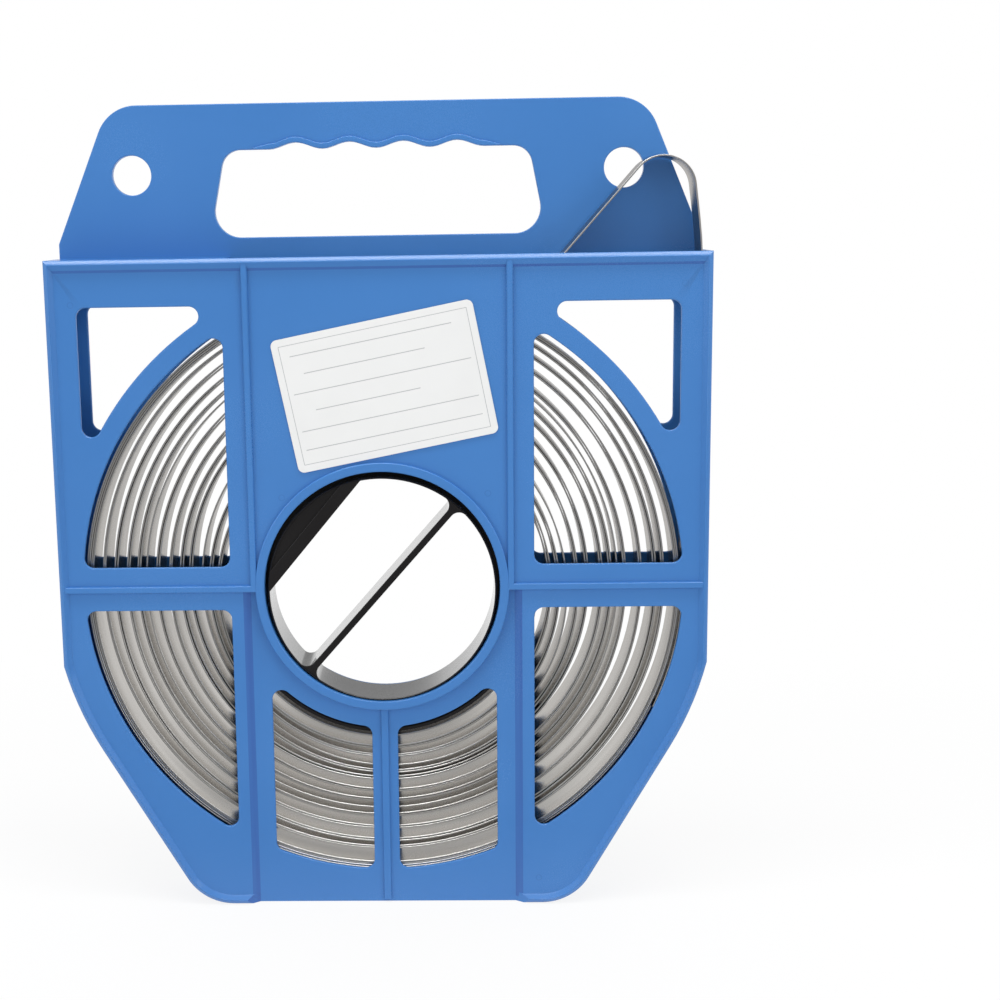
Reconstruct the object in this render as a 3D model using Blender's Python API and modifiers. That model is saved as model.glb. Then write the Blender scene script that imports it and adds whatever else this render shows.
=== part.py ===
"""Stainless steel banding strap, wound on a core inside a moulded carry case.

The case stands on its foot with its front towards -Y. All lengths are in metres. The origin is
on the floor, under the middle of the case. Flat shapes are drawn in the plane of the case, with x
to the right and z up, and are given a depth along y.
"""

import math

import bmesh
import bpy

# Strap
STRAP_WIDTH = 0.01905
STRAP_THICKNESS = 0.00076
COIL_BUNDLES = 12
COIL_GROOVE_WIDTH = 0.0017
COIL_GROOVE_DEPTH = 0.0022

# Case outline, and the room that it leaves round the coil
CASE_WIDTH = 0.306
COIL_TO_SIDE = 0.0195
COIL_TO_TOP = 0.017
SIDE_FLAT_DEPTH = 0.0045
FOOT_MARGIN = 0.0005
SLANT_ANGLE = 30.3
FOOT_CORNER_RADIUS = 0.026

# Case sections
WALL = 0.002
RIM_HEIGHT = 0.002
RIM_WIDTH = 0.0024
RIM_SLOPE = 0.0018
TOP_RIM_SLOPE = 0.0034
RECESS_DEPTH = 0.002
RECESS_SLOPE = 0.0035
SIDE_CLEARANCE = 0.0005
FIT_GAP = 0.0003
DRAFT = 0.0003

# Windows
WINDOW_MARGIN = 0.0035
WINDOW_CORNER = 0.0045
WINDOW_STRIP = 0.0093
QUARTER_TO_RIB = 0.011
QUARTER_EDGE = 0.0105
CORNER_WINDOW_SIDE = 0.014
CORNER_WINDOW_DROP = 0.0218
FOOT_WINDOW_SIGHT = 0.0019
FOOT_WINDOW_TO_RIB = 0.0069
FOOT_WINDOW_TO_MIDDLE = 0.0042

# Ribs
RIB_TO_COLLAR = 0.0009
RIB_WIDTH = 0.0035
MIDDLE_RIB_WIDTH = 0.004
MIDDLE_RIB_HEIGHT = 0.0013

# Collars and reel core
COLLAR_BORE = 0.0555
COLLAR_RING_WIDTH = 0.0043
COLLAR_WALL = 0.0022
CORE_PLAY = 0.0015
CORE_SLEEVE_WALL = 0.0018
CORE_WEB = 0.0025
CORE_WEB_GAP = 0.001
CORE_DRUM_TO_COLLAR = 0.0116
CORE_DRUM_WALL = 0.002
CORE_SET_BACK = 0.0015
CORE_BAR_THICKNESS = 0.0022
CORE_BAR_ANGLE = 48.6
CORE_BAR_FLARE = 0.0045
CORE_CHORD_RISE = 0.0127
CORE_CHORD_WALL = 0.002
CORE_CHORD_FLOOR = 0.002
CORE_CHORD_SET_BACK = 0.0012

# Handle
HANDLE_SIDE_STEP = 0.002
HANDLE_FOOT = 0.007
HANDLE_SIDE_LEAN = 0.0261
HANDLE_BAR = 0.0212
HANDLE_CORNER_RADIUS = 0.0195
GRIP_BOTTOM = 0.0089
GRIP_HEIGHT = 0.0404
GRIP_MARGIN = 0.0208
GRIP_SIDE_LEAN = 0.008
GRIP_BOTTOM_RADIUS = 0.012
GRIP_TOP_RADIUS = 0.009
GRIP_EDGE_WIDTH = 0.0026
FINGER_COUNT = 4
FINGER_PITCH = 0.0251
FINGER_DEPTH = 0.003
LIP_HEIGHT = 0.0012
LIP_RUN_OUT = 0.0075
HANG_HOLE_RADIUS = 0.0092
HANG_HOLE_TO_SIDE = 0.036
HANG_HOLE_DROP = 0.0321
HANG_BOSS_WALL = 0.0024

# Strap slot and free end
SLOT_LEFT = 0.070
STRAP_HUG_ANGLE = 25.0
STRAP_TO_SIDE = 0.0023
STRAP_BEND_DROP = 0.0239
STRAP_BEND_RADIUS = 0.2
STRAP_LEAN = 7.0
STRAP_LEG = 0.0157
STRAP_LOOP_RADIUS = 0.0147
STRAP_TUCK_SLOPE = 48.6
STRAP_TUCK = 0.0835

# Posts that join the two halves of the case
POST_RADIUS = 0.0035
POST_TOP_SIDE = 0.0135
POST_TOP_DROP = 0.012
POST_FOOT_DROP = 0.012
PIN_RADIUS = 0.0016
PIN_LENGTH = 0.004

# Label
LABEL_WIDTH = 0.095
LABEL_THICKNESS = 0.0003
LABEL_CORNER = 0.003
LABEL_X = 0.00285
LABEL_TO_TOP = 0.0285
LABEL_TO_COLLAR = 0.0037
LABEL_TURN = 11.2

# Facets
ARC_STEP = 6.0
CORNER_STEP = 22.5
ROUND_STEPS = 60
COIL_STEPS = 44
POST_STEPS = 10
FINGER_STEPS = 6
OVERLAP = 0.0005
MERGE = 0.00001

# Radii from the collars outwards, and the ribs beside them
COLLAR_RING = COLLAR_BORE + COLLAR_RING_WIDTH
CORE_DRUM_RADIUS = COLLAR_RING + CORE_DRUM_TO_COLLAR
COIL_BORE = CORE_DRUM_RADIUS + FIT_GAP
RIB_X = COLLAR_RING + RIB_TO_COLLAR

# The coil that fits in the case, and the case's heights
CASE_RADIUS = CASE_WIDTH / 2 + SIDE_FLAT_DEPTH
COIL_OUTER_RADIUS = CASE_RADIUS - COIL_TO_SIDE
HUB_HEIGHT = CASE_RADIUS + FOOT_MARGIN
CASE_TOP = HUB_HEIGHT + COIL_OUTER_RADIUS + COIL_TO_TOP

# The handle and its grip
HANDLE_BASE_WIDTH = CASE_WIDTH - 2 * HANDLE_SIDE_STEP
HANDLE_TOP_WIDTH = HANDLE_BASE_WIDTH - 2 * HANDLE_SIDE_LEAN
HANDLE_HEIGHT = GRIP_BOTTOM + GRIP_HEIGHT + HANDLE_BAR
GRIP_TOP = GRIP_BOTTOM + GRIP_HEIGHT
GRIP_TOP_WIDTH = FINGER_COUNT * FINGER_PITCH + 2 * GRIP_MARGIN
GRIP_BOTTOM_WIDTH = GRIP_TOP_WIDTH + 2 * GRIP_SIDE_LEAN

# The windows' sides
WINDOW_RADIUS = COIL_OUTER_RADIUS + WINDOW_MARGIN
QUARTER_INNER_X = RIB_X + QUARTER_TO_RIB
CORNER_WINDOW_RADIUS = WINDOW_RADIUS + WINDOW_STRIP
CORNER_WINDOW_OUTER_X = CASE_WIDTH / 2 - CORNER_WINDOW_SIDE
FOOT_WINDOW_RADIUS = CORE_DRUM_RADIUS - FOOT_WINDOW_SIGHT
FOOT_WINDOW_OUTER_X = RIB_X - FOOT_WINDOW_TO_RIB
FOOT_WINDOW_INNER_X = MIDDLE_RIB_WIDTH / 2 + FOOT_WINDOW_TO_MIDDLE

# The label, between the collar and the top of the case
LABEL_HEIGHT = CASE_TOP - HUB_HEIGHT - COLLAR_RING - LABEL_TO_TOP - LABEL_TO_COLLAR
LABEL_DROP = LABEL_TO_TOP + LABEL_HEIGHT / 2

# Levels along y, from the front face to the rear face of the case
CASE_DEPTH = 2 * (RIM_HEIGHT + WALL + SIDE_CLEARANCE) + RECESS_DEPTH + STRAP_WIDTH
FRONT = -CASE_DEPTH / 2
PANEL_OUT = FRONT + RIM_HEIGHT
PANEL_IN = PANEL_OUT + WALL
FLOOR_IN = PANEL_IN + RECESS_DEPTH
STRAP_FRONT = FLOOR_IN + SIDE_CLEARANCE
STRAP_BACK = STRAP_FRONT + STRAP_WIDTH
BACK_IN = STRAP_BACK + SIDE_CLEARANCE
BACK_OUT = BACK_IN + WALL
REAR = BACK_OUT + RIM_HEIGHT
STRAP_MIDDLE = (STRAP_FRONT + STRAP_BACK) / 2
PARTING = STRAP_MIDDLE

# The reel rests on the lowest side of the collars, so its axis lies a little under theirs
REEL_HEIGHT = HUB_HEIGHT - (CORE_PLAY - FIT_GAP)
SLEEVE_OUTER = COLLAR_BORE - CORE_PLAY
SLEEVE_INNER = SLEEVE_OUTER - CORE_SLEEVE_WALL
CORE_CHORD_DISTANCE = SLEEVE_INNER - CORE_CHORD_RISE


def clear_scene():
    """Remove whatever the file opened with."""
    for item in list(bpy.data.objects):
        bpy.data.objects.remove(item, do_unlink=True)


def collection(name):
    """Make a collection in the scene."""
    made = bpy.data.collections.new(name)
    bpy.context.scene.collection.children.link(made)
    return made


def material(name, colour, roughness, metallic=0.0):
    """Make a plain Principled material."""
    made = bpy.data.materials.new(name)
    made.use_nodes = True
    shader = made.node_tree.nodes["Principled BSDF"]
    shader.inputs["Base Color"].default_value = (*colour, 1.0)
    shader.inputs["Roughness"].default_value = roughness
    shader.inputs["Metallic"].default_value = metallic
    made.diffuse_color = (*colour, 1.0)
    return made


# Outlines: lists of (x, z) points


def arc(centre, radius, start, end, step=ARC_STEP):
    """Points on an arc, with its two ends. Angles are in degrees."""
    count = max(1, math.ceil(abs(end - start) / step))
    points = []
    for i in range(count + 1):
        angle = math.radians(start + (end - start) * i / count)
        points.append((centre[0] + radius * math.cos(angle), centre[1] + radius * math.sin(angle)))
    return points


def bearing(point):
    """Direction of a point from the origin, in degrees."""
    return math.degrees(math.atan2(point[1], point[0]))


def rounded_corner(before, corner, after, radius):
    """The arc that rounds one corner of a polygon."""
    first = (before[0] - corner[0], before[1] - corner[1])
    second = (after[0] - corner[0], after[1] - corner[1])
    first_turn, second_turn = bearing(first), bearing(second)
    opening = (first_turn - second_turn) % 360
    half = opening / 2 if opening < 180 else (360 - opening) / 2
    middle = second_turn + half if opening < 180 else first_turn + half
    reach = radius / math.sin(math.radians(half))
    centre = (
        corner[0] + reach * math.cos(math.radians(middle)),
        corner[1] + reach * math.sin(math.radians(middle)),
    )
    sweep = 180 - 2 * half
    out = middle + 180
    if opening < 180:
        return arc(centre, radius, out - sweep / 2, out + sweep / 2, CORNER_STEP)
    return arc(centre, radius, out + sweep / 2, out - sweep / 2, CORNER_STEP)


def rounded_polygon(corners):
    """An outline from corners given as (x, z, radius)."""
    points = []
    for i, (x, z, radius) in enumerate(corners):
        before, after = corners[i - 1], corners[(i + 1) % len(corners)]
        points += rounded_corner(before[:2], (x, z), after[:2], radius) if radius else [(x, z)]
    return points


def shifted(points, dx=0.0, dz=0.0):
    """The same outline, moved."""
    return [(x + dx, z + dz) for x, z in points]


def mirrored(points):
    """The outline's mirror image in the plane x = 0."""
    return [(-x, z) for x, z in points]


def foot_corner():
    """Centre of the right foot corner's arc, which touches the slanted side and the base."""
    slant = math.radians(SLANT_ANGLE)
    level = HUB_HEIGHT - FOOT_CORNER_RADIUS
    reach = CASE_RADIUS - FOOT_CORNER_RADIUS
    return (reach - level * math.sin(slant)) / math.cos(slant), FOOT_CORNER_RADIUS


def case_outline(inset=0.0, top_inset=None):
    """Outline of the case, from its top right corner down and round, moved inwards by inset."""
    side = CASE_WIDTH / 2 - inset
    radius = CASE_RADIUS - inset
    side_turn = -math.degrees(math.acos(side / radius))
    right = [(side, CASE_TOP - (top_inset or inset))]
    right += arc((0, HUB_HEIGHT), radius, side_turn, -SLANT_ANGLE)
    right += arc(foot_corner(), FOOT_CORNER_RADIUS - inset, -SLANT_ANGLE, -90, CORNER_STEP / 2)
    return right + mirrored(right)[::-1]


def handle_outline(inset=0.0, drop=0.0):
    """The handle's own edge, from its right foot to its left foot, which go down by drop."""
    slope = math.atan2(HANDLE_SIDE_LEAN, HANDLE_HEIGHT - HANDLE_FOOT)
    # An inset line meets the next one at the angle's half
    foot_x = HANDLE_BASE_WIDTH / 2 - inset
    knee = (foot_x, CASE_TOP + HANDLE_FOOT - inset * math.tan(slope / 2))
    top_z = CASE_TOP + HANDLE_HEIGHT - inset
    top = (foot_x - (top_z - knee[1]) * math.tan(slope), top_z)
    right = [(foot_x, CASE_TOP - drop), knee]
    right += rounded_corner(knee, top, (0, top_z), HANDLE_CORNER_RADIUS - inset)
    return right + mirrored(right)[::-1]


def finger_wave():
    """Points along the finger grooves on the upper edge of the grip, from right to left."""
    half = FINGER_COUNT * FINGER_PITCH / 2
    count = FINGER_COUNT * FINGER_STEPS
    points = []
    for i in range(count + 1):
        x = half - 2 * half * i / count
        lift = FINGER_DEPTH * (1 - math.cos(2 * math.pi * (x + half) / FINGER_PITCH)) / 2
        points.append((x, CASE_TOP + GRIP_TOP + lift))
    return points


def grip_corners(grow=0.0, lift=0.0):
    """Corners of the grip opening without its finger grooves, grown outwards and upwards."""
    low, high = CASE_TOP + GRIP_BOTTOM - grow, CASE_TOP + GRIP_TOP + grow + lift
    lower, upper = GRIP_BOTTOM_WIDTH / 2 + grow, GRIP_TOP_WIDTH / 2 + grow
    return [
        (-lower, low, GRIP_BOTTOM_RADIUS + grow),
        (lower, low, GRIP_BOTTOM_RADIUS + grow),
        (upper, high, GRIP_TOP_RADIUS + grow),
        (-upper, high, GRIP_TOP_RADIUS + grow),
    ]


def grip_outline():
    """The grip opening with its finger grooves."""
    plain = rounded_polygon(grip_corners())
    left_of_wave = [p for p in plain if p[0] < 0 and p[1] > CASE_TOP + (GRIP_BOTTOM + GRIP_TOP) / 2]
    others = [p for p in plain if p not in left_of_wave]
    return others + finger_wave() + left_of_wave


def lip_outline():
    """The raised lip that follows the finger grooves."""
    wave = finger_wave()
    end = wave[0][0] + LIP_RUN_OUT
    base = CASE_TOP + GRIP_TOP
    line = [(end, base)] + wave + [(-end, base)]
    low = base - GRIP_EDGE_WIDTH
    return [(-end, low), (end, low)] + [(x, z + GRIP_EDGE_WIDTH) for x, z in line]


def quarter_window(up):
    """A window over a quarter of the coil, on the right, above or below the hub."""
    f, radius = WINDOW_CORNER, WINDOW_RADIUS
    inner = (QUARTER_INNER_X + f, QUARTER_EDGE + f)
    outer = (math.sqrt((radius - f) ** 2 - inner[1] ** 2), inner[1])
    tip = (inner[0], math.sqrt((radius - f) ** 2 - inner[0] ** 2))
    points = arc(inner, f, 180, 270, CORNER_STEP)
    points += arc(outer, f, -90, bearing(outer), CORNER_STEP)
    points += arc((0, 0), radius, bearing(outer), bearing(tip))[1:-1]
    points += arc(tip, f, bearing(tip), 180, CORNER_STEP)
    if not up:
        points = [(x, -z) for x, z in points]
    return shifted(points, dz=HUB_HEIGHT)


def corner_window():
    """The window in the right upper corner, outside the coil."""
    f, radius = WINDOW_CORNER, CORNER_WINDOW_RADIUS
    top = CASE_TOP - CORNER_WINDOW_DROP - HUB_HEIGHT - f
    outer_x = CORNER_WINDOW_OUTER_X - f
    inner = (math.sqrt((radius + f) ** 2 - top**2), top)
    low = (outer_x, math.sqrt((radius + f) ** 2 - outer_x**2))
    points = arc((outer_x, top), f, 0, 90, CORNER_STEP)
    points += arc(inner, f, 90, 180 + bearing(inner), CORNER_STEP)
    points += arc((0, 0), radius, bearing(inner), bearing(low))[1:-1]
    points += arc(low, f, 180 + bearing(low), 360, CORNER_STEP)
    return shifted(points, dz=HUB_HEIGHT)


def foot_window():
    """The window under the hub, on the right of the middle rib."""
    f = WINDOW_CORNER
    left, right = FOOT_WINDOW_INNER_X + f, FOOT_WINDOW_OUTER_X - f
    inside, outside = FOOT_WINDOW_RADIUS + f, WINDOW_RADIUS - f
    near_right = (right, math.sqrt(inside**2 - right**2))
    near_left = (left, math.sqrt(inside**2 - left**2))
    far_right = (right, math.sqrt(outside**2 - right**2))
    far_left = (left, math.sqrt(outside**2 - left**2))
    points = arc(near_right, f, 180 + bearing(near_right), 360, CORNER_STEP)
    points += arc(far_right, f, 0, bearing(far_right), CORNER_STEP)
    points += arc((0, 0), WINDOW_RADIUS, bearing(far_right), bearing(far_left))[1:-1]
    points += arc(far_left, f, bearing(far_left), 180, CORNER_STEP)
    points += arc(near_left, f, 180, 180 + bearing(near_left), CORNER_STEP)
    points += arc((0, 0), FOOT_WINDOW_RADIUS, bearing(near_left), bearing(near_right))[1:-1]
    return [(x, HUB_HEIGHT - z) for x, z in points]


def window_outlines():
    """All eight windows of one cover."""
    right = [quarter_window(True), quarter_window(False), corner_window(), foot_window()]
    return right + [mirrored(window) for window in right]


def circle(x, z, radius, steps=ROUND_STEPS):
    """A round outline."""
    return arc((x, z), radius, 0, 360, 360 / steps)[:-1]


# Solids


def link(name, mesh, target, finish=None):
    """Put a mesh in the scene as an object."""
    made = bpy.data.objects.new(name, mesh)
    target.objects.link(made)
    if finish:
        mesh.materials.clear()
        mesh.materials.append(finish)
    return made


def face_outwards(shape):
    """Turn every face of a closed shape outwards."""
    bmesh.ops.recalc_face_normals(shape, faces=shape.faces)
    if shape.calc_volume(signed=True) < 0:
        bmesh.ops.reverse_faces(shape, faces=shape.faces)


def flat_solid(name, outlines, near, far, target, finish=None):
    """A solid from outlines in the plane of the case, between two levels. Inner outlines are holes."""
    curve = bpy.data.curves.new(name, "CURVE")
    curve.dimensions = "2D"
    curve.fill_mode = "BOTH"
    curve.extrude = (far - near) / 2
    for outline in outlines:
        spline = curve.splines.new("POLY")
        spline.points.add(len(outline[1:]))
        for point, (x, z) in zip(spline.points, outline):
            point.co = (x, z, 0, 1)
        spline.use_cyclic_u = True
    drawn = bpy.data.objects.new(name + "_curve", curve)
    bpy.context.scene.collection.objects.link(drawn)
    bpy.context.view_layer.update()
    graph = bpy.context.evaluated_depsgraph_get()
    mesh = bpy.data.meshes.new_from_object(drawn.evaluated_get(graph))
    mesh.name = name
    bpy.data.objects.remove(drawn)
    bpy.data.curves.remove(curve)
    shape = bmesh.new()
    shape.from_mesh(mesh)
    for vertex in shape.verts:
        x, z, side = vertex.co
        vertex.co = (x, near if side > 0 else far, z)
    bmesh.ops.remove_doubles(shape, verts=shape.verts, dist=MERGE)
    face_outwards(shape)
    shape.to_mesh(mesh)
    shape.free()
    return link(name, mesh, target, finish)


def runs_left(points):
    """Whether an outline runs anticlockwise."""
    pairs = zip(points, points[1:] + points[:1])
    return sum(a[0] * b[1] - b[0] * a[1] for a, b in pairs) > 0


def turned_solid(name, profile, height, steps, target, finish=None):
    """A ring turned about the y axis at a height, from a closed profile of (radius, y) points."""
    count = len(profile)
    mesh = bpy.data.meshes.new(name)
    mesh.from_pydata([(r, y, 0) for r, y in profile], [(i, (i + 1) % count) for i in range(count)], [])
    made = link(name, mesh, target, finish)
    made.location = (0, 0, height)
    screw = made.modifiers.new("Turn", "SCREW")
    screw.axis = "Y"
    screw.angle = 2 * math.pi
    screw.steps = steps
    screw.render_steps = steps
    screw.use_merge_vertices = True
    screw.merge_threshold = MERGE
    screw.use_normal_flip = runs_left(profile)
    screw.use_smooth_shade = False
    return made


def loft(name, sections, target, ring=False):
    """A solid through outlines of as many points, given as (outline, y).

    Its ends are closed, or joined to each other where it is a ring.
    """
    shape = bmesh.new()
    loops = [[shape.verts.new((x, y, z)) for x, z in outline] for outline, y in sections]
    pairs = list(zip(loops, loops[1:]))
    if ring:
        pairs.append((loops[-1], loops[0]))
    else:
        shape.faces.new(loops[0])
        shape.faces.new(loops[-1])
    for first, second in pairs:
        for i in range(len(first)):
            shape.faces.new((first[i - 1], first[i], second[i], second[i - 1]))
    bmesh.ops.triangulate(shape, faces=shape.faces)
    face_outwards(shape)
    mesh = bpy.data.meshes.new(name)
    shape.to_mesh(mesh)
    shape.free()
    return link(name, mesh, target)


def block(name, near, far, target):
    """A block with a rectangle at each end. near and far are (x limits, z limits, y)."""
    shape = bmesh.new()
    bmesh.ops.create_cube(shape, size=1.0)
    for vertex in shape.verts:
        x, z, y = far if vertex.co.y > 0 else near
        vertex.co = (x[vertex.co.x > 0], y, z[vertex.co.z > 0])
    face_outwards(shape)
    mesh = bpy.data.meshes.new(name)
    shape.to_mesh(mesh)
    shape.free()
    return link(name, mesh, target)


def drafted_bar(name, x, z, base, top, target):
    """A straight rib. x and z are its limits at its base, and its top is narrower by the draft."""
    top_x, top_z = (x[0] + DRAFT, x[1] - DRAFT), (z[0] + DRAFT, z[1] - DRAFT)
    return block(name, (top_x, top_z, top), (x, z, base), target)


def combine(base, additions=None, cutters=None, solver="EXACT"):
    """Fuse a collection of shapes to a base, and then cut another collection from it."""
    for name, operation, tools in (("Fuse", "UNION", additions), ("Cut", "DIFFERENCE", cutters)):
        for tool in tools.objects if tools else ():
            tool.hide_render = True
            tool.display_type = "WIRE"
            modifier = base.modifiers.new(f"{name}_{tool.name}", "BOOLEAN")
            modifier.operation = operation
            modifier.solver = solver
            modifier.object = tool


def front_rim(target):
    """The wall round the front cover and its sloping inner side, both cut where the recess runs out."""
    cutters = collection("front_rim_cutters")
    rim = flat_solid("front_rim", [case_outline(), case_outline(RIM_WIDTH)], FRONT, PARTING, target)
    crest = RIM_WIDTH + DRAFT
    middle, near, far = case_outline(RIM_WIDTH / 2), FRONT + MERGE, PANEL_OUT + WALL / 2
    foot_of_slope = case_outline(crest + RIM_SLOPE, crest + TOP_RIM_SLOPE)
    sections = [(middle, near), (middle, far), (foot_of_slope, far), (case_outline(crest), near)]
    slope = loft("front_rim_slope", sections, target, ring=True)
    floor, inner = PANEL_OUT + RECESS_DEPTH, RIB_X + RIB_WIDTH / 2
    mouth = inner + RECESS_SLOPE * (floor + OVERLAP - FRONT) / RECESS_DEPTH
    height = (-OVERLAP, crest + 2 * RIM_SLOPE)
    near = ((-mouth, mouth), height, FRONT - OVERLAP)
    block("recess_mouth", near, ((-inner, inner), height, floor + MERGE), cutters)
    combine(rim, cutters=cutters)
    combine(slope, cutters=cutters)


def add_ribs(plate, proud, floor, floor_top, target):
    """The straight ribs on the outside of a cover. plate and floor are just under its surface."""
    half = RIB_WIDTH / 2
    side = CASE_WIDTH / 2 - RIM_WIDTH / 2
    for sign, label in ((-1, "left"), (1, "right")):
        upright = sorted((sign * (RIB_X - half), sign * (RIB_X + half)))
        drafted_bar(
            f"upright_rib_{label}", upright, (HUB_HEIGHT - half, CASE_TOP - WALL), plate, proud, target
        )
        level = sorted((sign * (RIB_X - half), sign * side))
        drafted_bar(
            f"level_rib_{label}", level, (HUB_HEIGHT - half, HUB_HEIGHT + half), plate, proud, target
        )
    middle = MIDDLE_RIB_WIDTH / 2
    drafted_bar(
        "middle_rib",
        (-middle, middle),
        (WALL / 2, HUB_HEIGHT - COLLAR_RING + OVERLAP),
        floor,
        floor_top,
        target,
    )


def collar(name, face, plate, inner_end, target):
    """A ring on the face of a cover, with the sleeve that the reel turns on behind it."""
    sleeve = COLLAR_BORE + COLLAR_WALL
    rounding = RIM_HEIGHT / 4
    outwards = math.copysign(1, plate - face)
    profile = [
        (COLLAR_BORE, inner_end),
        (COLLAR_BORE, face + outwards * rounding),
        (COLLAR_BORE + rounding, face),
        (COLLAR_RING - rounding, face),
        (COLLAR_RING, face + outwards * rounding),
        (COLLAR_RING, plate),
        (sleeve, plate),
        (sleeve, inner_end),
    ]
    return turned_solid(name, profile, HUB_HEIGHT, ROUND_STEPS, target)


def post_places():
    """Where the posts that join the covers stand."""
    foot_x, foot_z = foot_corner()
    right = [
        (CASE_WIDTH / 2 - POST_TOP_SIDE, CASE_TOP - POST_TOP_DROP),
        (foot_x, foot_z - POST_FOOT_DROP),
    ]
    return right + mirrored(right)


def step_plate(plate):
    """Sink the part of the front plate under the hub, down to the foot, with sloping sides."""
    inner = RIB_X + RIB_WIDTH / 2
    outer = inner + RECESS_SLOPE
    shape = bmesh.new()
    shape.from_mesh(plate.data)
    top = HUB_HEIGHT - RIB_WIDTH / 2
    cuts = [((0, 0, top), (0, 0, 1)), ((0, 0, top + RIB_WIDTH / 2), (0, 0, 1))]
    cuts += [((x, 0, 0), (1, 0, 0)) for x in (-outer, -inner, inner, outer)]
    for point, normal in cuts:
        every = shape.verts[:] + shape.edges[:] + shape.faces[:]
        bmesh.ops.bisect_plane(shape, geom=every, dist=MERGE, plane_co=point, plane_no=normal)
    for vertex in shape.verts:
        if abs(vertex.co.x) < inner + MERGE and vertex.co.z < top + MERGE:
            vertex.co.y += RECESS_DEPTH
    face_outwards(shape)
    shape.to_mesh(plate.data)
    shape.free()


def front_cover(target, finish):
    """The front moulding: a stepped plate with windows, its rim, ribs, collar and posts."""
    additions, cutters = collection("front_additions"), collection("front_cutters")
    sleeve_hole = circle(0, HUB_HEIGHT, COLLAR_BORE + COLLAR_WALL / 2)
    outlines = [case_outline(RIM_WIDTH / 2), sleeve_hole]
    plate = flat_solid("front_cover", outlines, PANEL_OUT, PANEL_IN, target, finish)
    step_plate(plate)
    front_rim(additions)
    add_ribs(
        PANEL_OUT + WALL / 2,
        FRONT + DRAFT,
        PANEL_OUT + RECESS_DEPTH + WALL / 2,
        PANEL_OUT + RECESS_DEPTH - MIDDLE_RIB_HEIGHT,
        additions,
    )
    web_front = STRAP_MIDDLE - CORE_WEB / 2 - CORE_WEB_GAP
    collar("front_collar", FRONT, FLOOR_IN - OVERLAP, web_front, additions)
    for i, (x, z) in enumerate(post_places()):
        flat_solid(
            f"front_post_{i}",
            [circle(x, z, POST_RADIUS, POST_STEPS)],
            PANEL_IN - OVERLAP,
            PARTING,
            additions,
        )
        flat_solid(
            f"front_socket_{i}",
            [circle(x, z, PIN_RADIUS + FIT_GAP, POST_STEPS)],
            PARTING - PIN_LENGTH - FIT_GAP,
            PARTING + OVERLAP,
            cutters,
        )
    cut_windows("front", FRONT - OVERLAP, FLOOR_IN + OVERLAP, cutters)
    cut_slot("front_slot", PANEL_IN, PARTING + OVERLAP, cutters)
    # The exact solver leaves open edges where the ribs run into the sloping side of the rim
    combine(plate, additions, cutters, "MANIFOLD")
    return plate


def cut_windows(name, near, far, target):
    """Shapes that cut the eight windows."""
    for i, window in enumerate(window_outlines()):
        flat_solid(f"{name}_window_{i}", [window], near, far, target)


def cut_slot(name, near, far, target):
    """The gap in the top of the case where the strap comes out."""
    inner_side = CASE_WIDTH / 2 - RIM_WIDTH
    box = [
        (-SLOT_LEFT, CASE_TOP - RIM_WIDTH - OVERLAP),
        (inner_side, CASE_TOP - RIM_WIDTH - OVERLAP),
        (inner_side, CASE_TOP + OVERLAP),
        (-SLOT_LEFT, CASE_TOP + OVERLAP),
    ]
    return flat_solid(name, [box], near, far, target)


def back_blank(target, finish):
    """The back cover's plate and the rims round the case and the handle."""
    additions, cutters = collection("back_blank_additions"), collection("back_blank_cutters")
    seam = PARTING + FIT_GAP
    blank = flat_solid("back_cover", [case_outline()], seam, REAR, target, finish)
    flat_solid("handle_blank", [handle_outline(0.0, RIM_WIDTH / 2)], BACK_IN, REAR, additions)
    flat_solid("back_cavity", [case_outline(RIM_WIDTH)], seam - OVERLAP, BACK_IN, cutters)
    for name, outline in (("back_pocket", case_outline), ("handle_pocket", handle_outline)):
        floor = (outline(RIM_WIDTH + RIM_SLOPE), BACK_OUT)
        loft(name, [floor, (outline(RIM_WIDTH), REAR + OVERLAP)], cutters)
    sleeve_hole = circle(0, HUB_HEIGHT, COLLAR_BORE + COLLAR_WALL / 2)
    flat_solid("back_sleeve_hole", [sleeve_hole], BACK_IN - OVERLAP, BACK_OUT + OVERLAP, cutters)
    combine(blank, additions, cutters)
    return blank


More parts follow.
